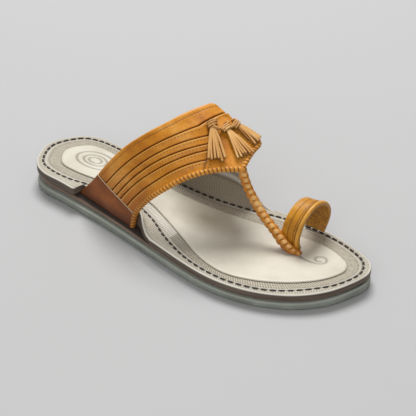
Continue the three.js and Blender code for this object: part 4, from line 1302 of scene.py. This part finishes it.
def stitches(name, paths, thread, sizes):
    """paths holds (points, normals). sizes are pitch, length, width and height. All in mm."""
    verts, ups, edges = [], [], []
    for points, normals in paths:
        start = len(verts)
        verts += (np.asarray(points) * MM).tolist()
        ups += np.asarray(normals).tolist()
        edges += [(start + k, start + k + 1) for k in range(len(points) - 1)]
    mesh = bpy.data.meshes.new(name + "_path")
    mesh.from_pydata(verts, edges, [])
    mesh.attributes.new("up", "FLOAT_VECTOR", "POINT").data.foreach_set("vector", np.ravel(ups))
    obj = placed(name, mesh)
    modifier = obj.modifiers.new("stitches", "NODES")
    modifier.node_group = STITCHES
    values = dict(zip(("Pitch", "Length", "Width", "Height"), np.array(sizes) * MM), Thread=thread)
    for item in STITCHES.interface.items_tree:
        if item.in_out == "INPUT" and item.name in values:
            value = values[item.name]
            modifier[item.identifier] = thread if value is thread else float(value)
    shaped = obj.evaluated_get(bpy.context.evaluated_depsgraph_get())
    plain = bpy.data.meshes.new_from_object(shaped)
    obj.modifiers.remove(modifier)
    obj.data = plain
    print(name, "stitch triangles", triangles(plain))
    return finish_piece(obj)


# %% Footbed seam and the threads of the band
SEAM_STITCH = (5.5, 4.6, 1.55, 1.0)
BAND_STITCH = (2.3, 1.5, 0.5, 0.4)
PATCH_STITCH = (2.2, 1.5, 0.55, 0.5)
TAB_STITCH = (2.2, 1.5, 0.5, 0.4)
seam_path = np.column_stack([seam_ring, seam_level(seam_ring[:, 0]) + 0.1])
seam_path = np.concatenate([seam_path, seam_path[:1]])
upright = np.tile([0.0, 0.0, 1.0], (len(seam_path), 1))
stitches("footbed_seam", [(seam_path, upright)], DARK_THREAD, SEAM_STITCH)


def on_relief(turns, shares, sunk=0.05):
    """A line that lies on the folded leather, a little sunk into it."""
    turns, shares = np.broadcast_arrays(turns, shares)
    return band_line(turns, shares, band_relief(turns, shares)[0] - sunk)


CLEAR = (-0.86, 0.9)             # turns at the edges of the tabs
clear_turns = np.linspace(*CLEAR, 300)
fine_lines = [on_relief(clear_turns, REAR_SEAM / band_width(clear_turns), 0.0)]
for pleat in PLEATS:
    until = patch_sides(pleat)[0] - 0.012 if pleat > PATCH_START else CLEAR[1]
    fine_lines.append(on_relief(np.linspace(CLEAR[0], until, 200), pleat + 0.048))
stitches("band_stitching", fine_lines, TAN_THREAD, BAND_STITCH)
shares = np.linspace(0.33, 0.93, 120)
left, right = patch_sides(shares)
patch_lines = [on_relief(left + 0.024, shares), on_relief(right - 0.024, shares)]
stitches("patch_stitching", patch_lines, TAN_THREAD, PATCH_STITCH)
shares = np.linspace(0.05, 0.95, 80)
tab_lines = [band_line(band_turn(place, shares), shares, 0.12) for place in (-0.16, 1.16)]
stitches("tab_stitching", tab_lines, TAN_THREAD, TAB_STITCH)

# %% [markdown]
# ## Studio
# The sandal stands on a plain pale floor that runs out of the picture. A broad soft light comes
# from high on the left and behind. A weaker one in front keeps the near side readable.

# %% Floor
floor_mesh = bpy.data.meshes.new("studio_floor")
floor_mesh.from_pydata([(-3, -3, 0), (3, -3, 0), (3, 3, 0), (-3, 3, 0)], [], [(0, 1, 2, 3)])
floor = placed("studio_floor", floor_mesh)
FLOOR_PAPER, floor_tree, floor_shader = new_material("floor_paper")
feed_all(floor_tree, floor_shader, Base_Color="#BDBDBD", Roughness=0.85)
floor_mesh.materials.append(FLOOR_PAPER)

# %% Lights and world
# name: place and target in metres, diameter, power
LIGHTS = {
    "key_light": ((-0.6, 0.75, 1.9), (0, 0, 0), 1.1, 41),
    "fill_light": ((0.5, -1.0, 0.8), (0, 0, 0.02), 1.0, 4.8),
}
for name, (place, target, size, power) in LIGHTS.items():
    lamp = bpy.data.lights.new(name, "AREA")
    lamp.shape, lamp.size, lamp.energy = "DISK", size, power
    stand_and_aim(placed(name, lamp), place, target)
world = bpy.data.worlds.new("studio_world")
bpy.context.scene.world = world
world.use_nodes = True
feed_all(world.node_tree, world.node_tree.nodes["Background"], Color=(0.83, 0.83, 0.83, 1),
         Strength=0.36)
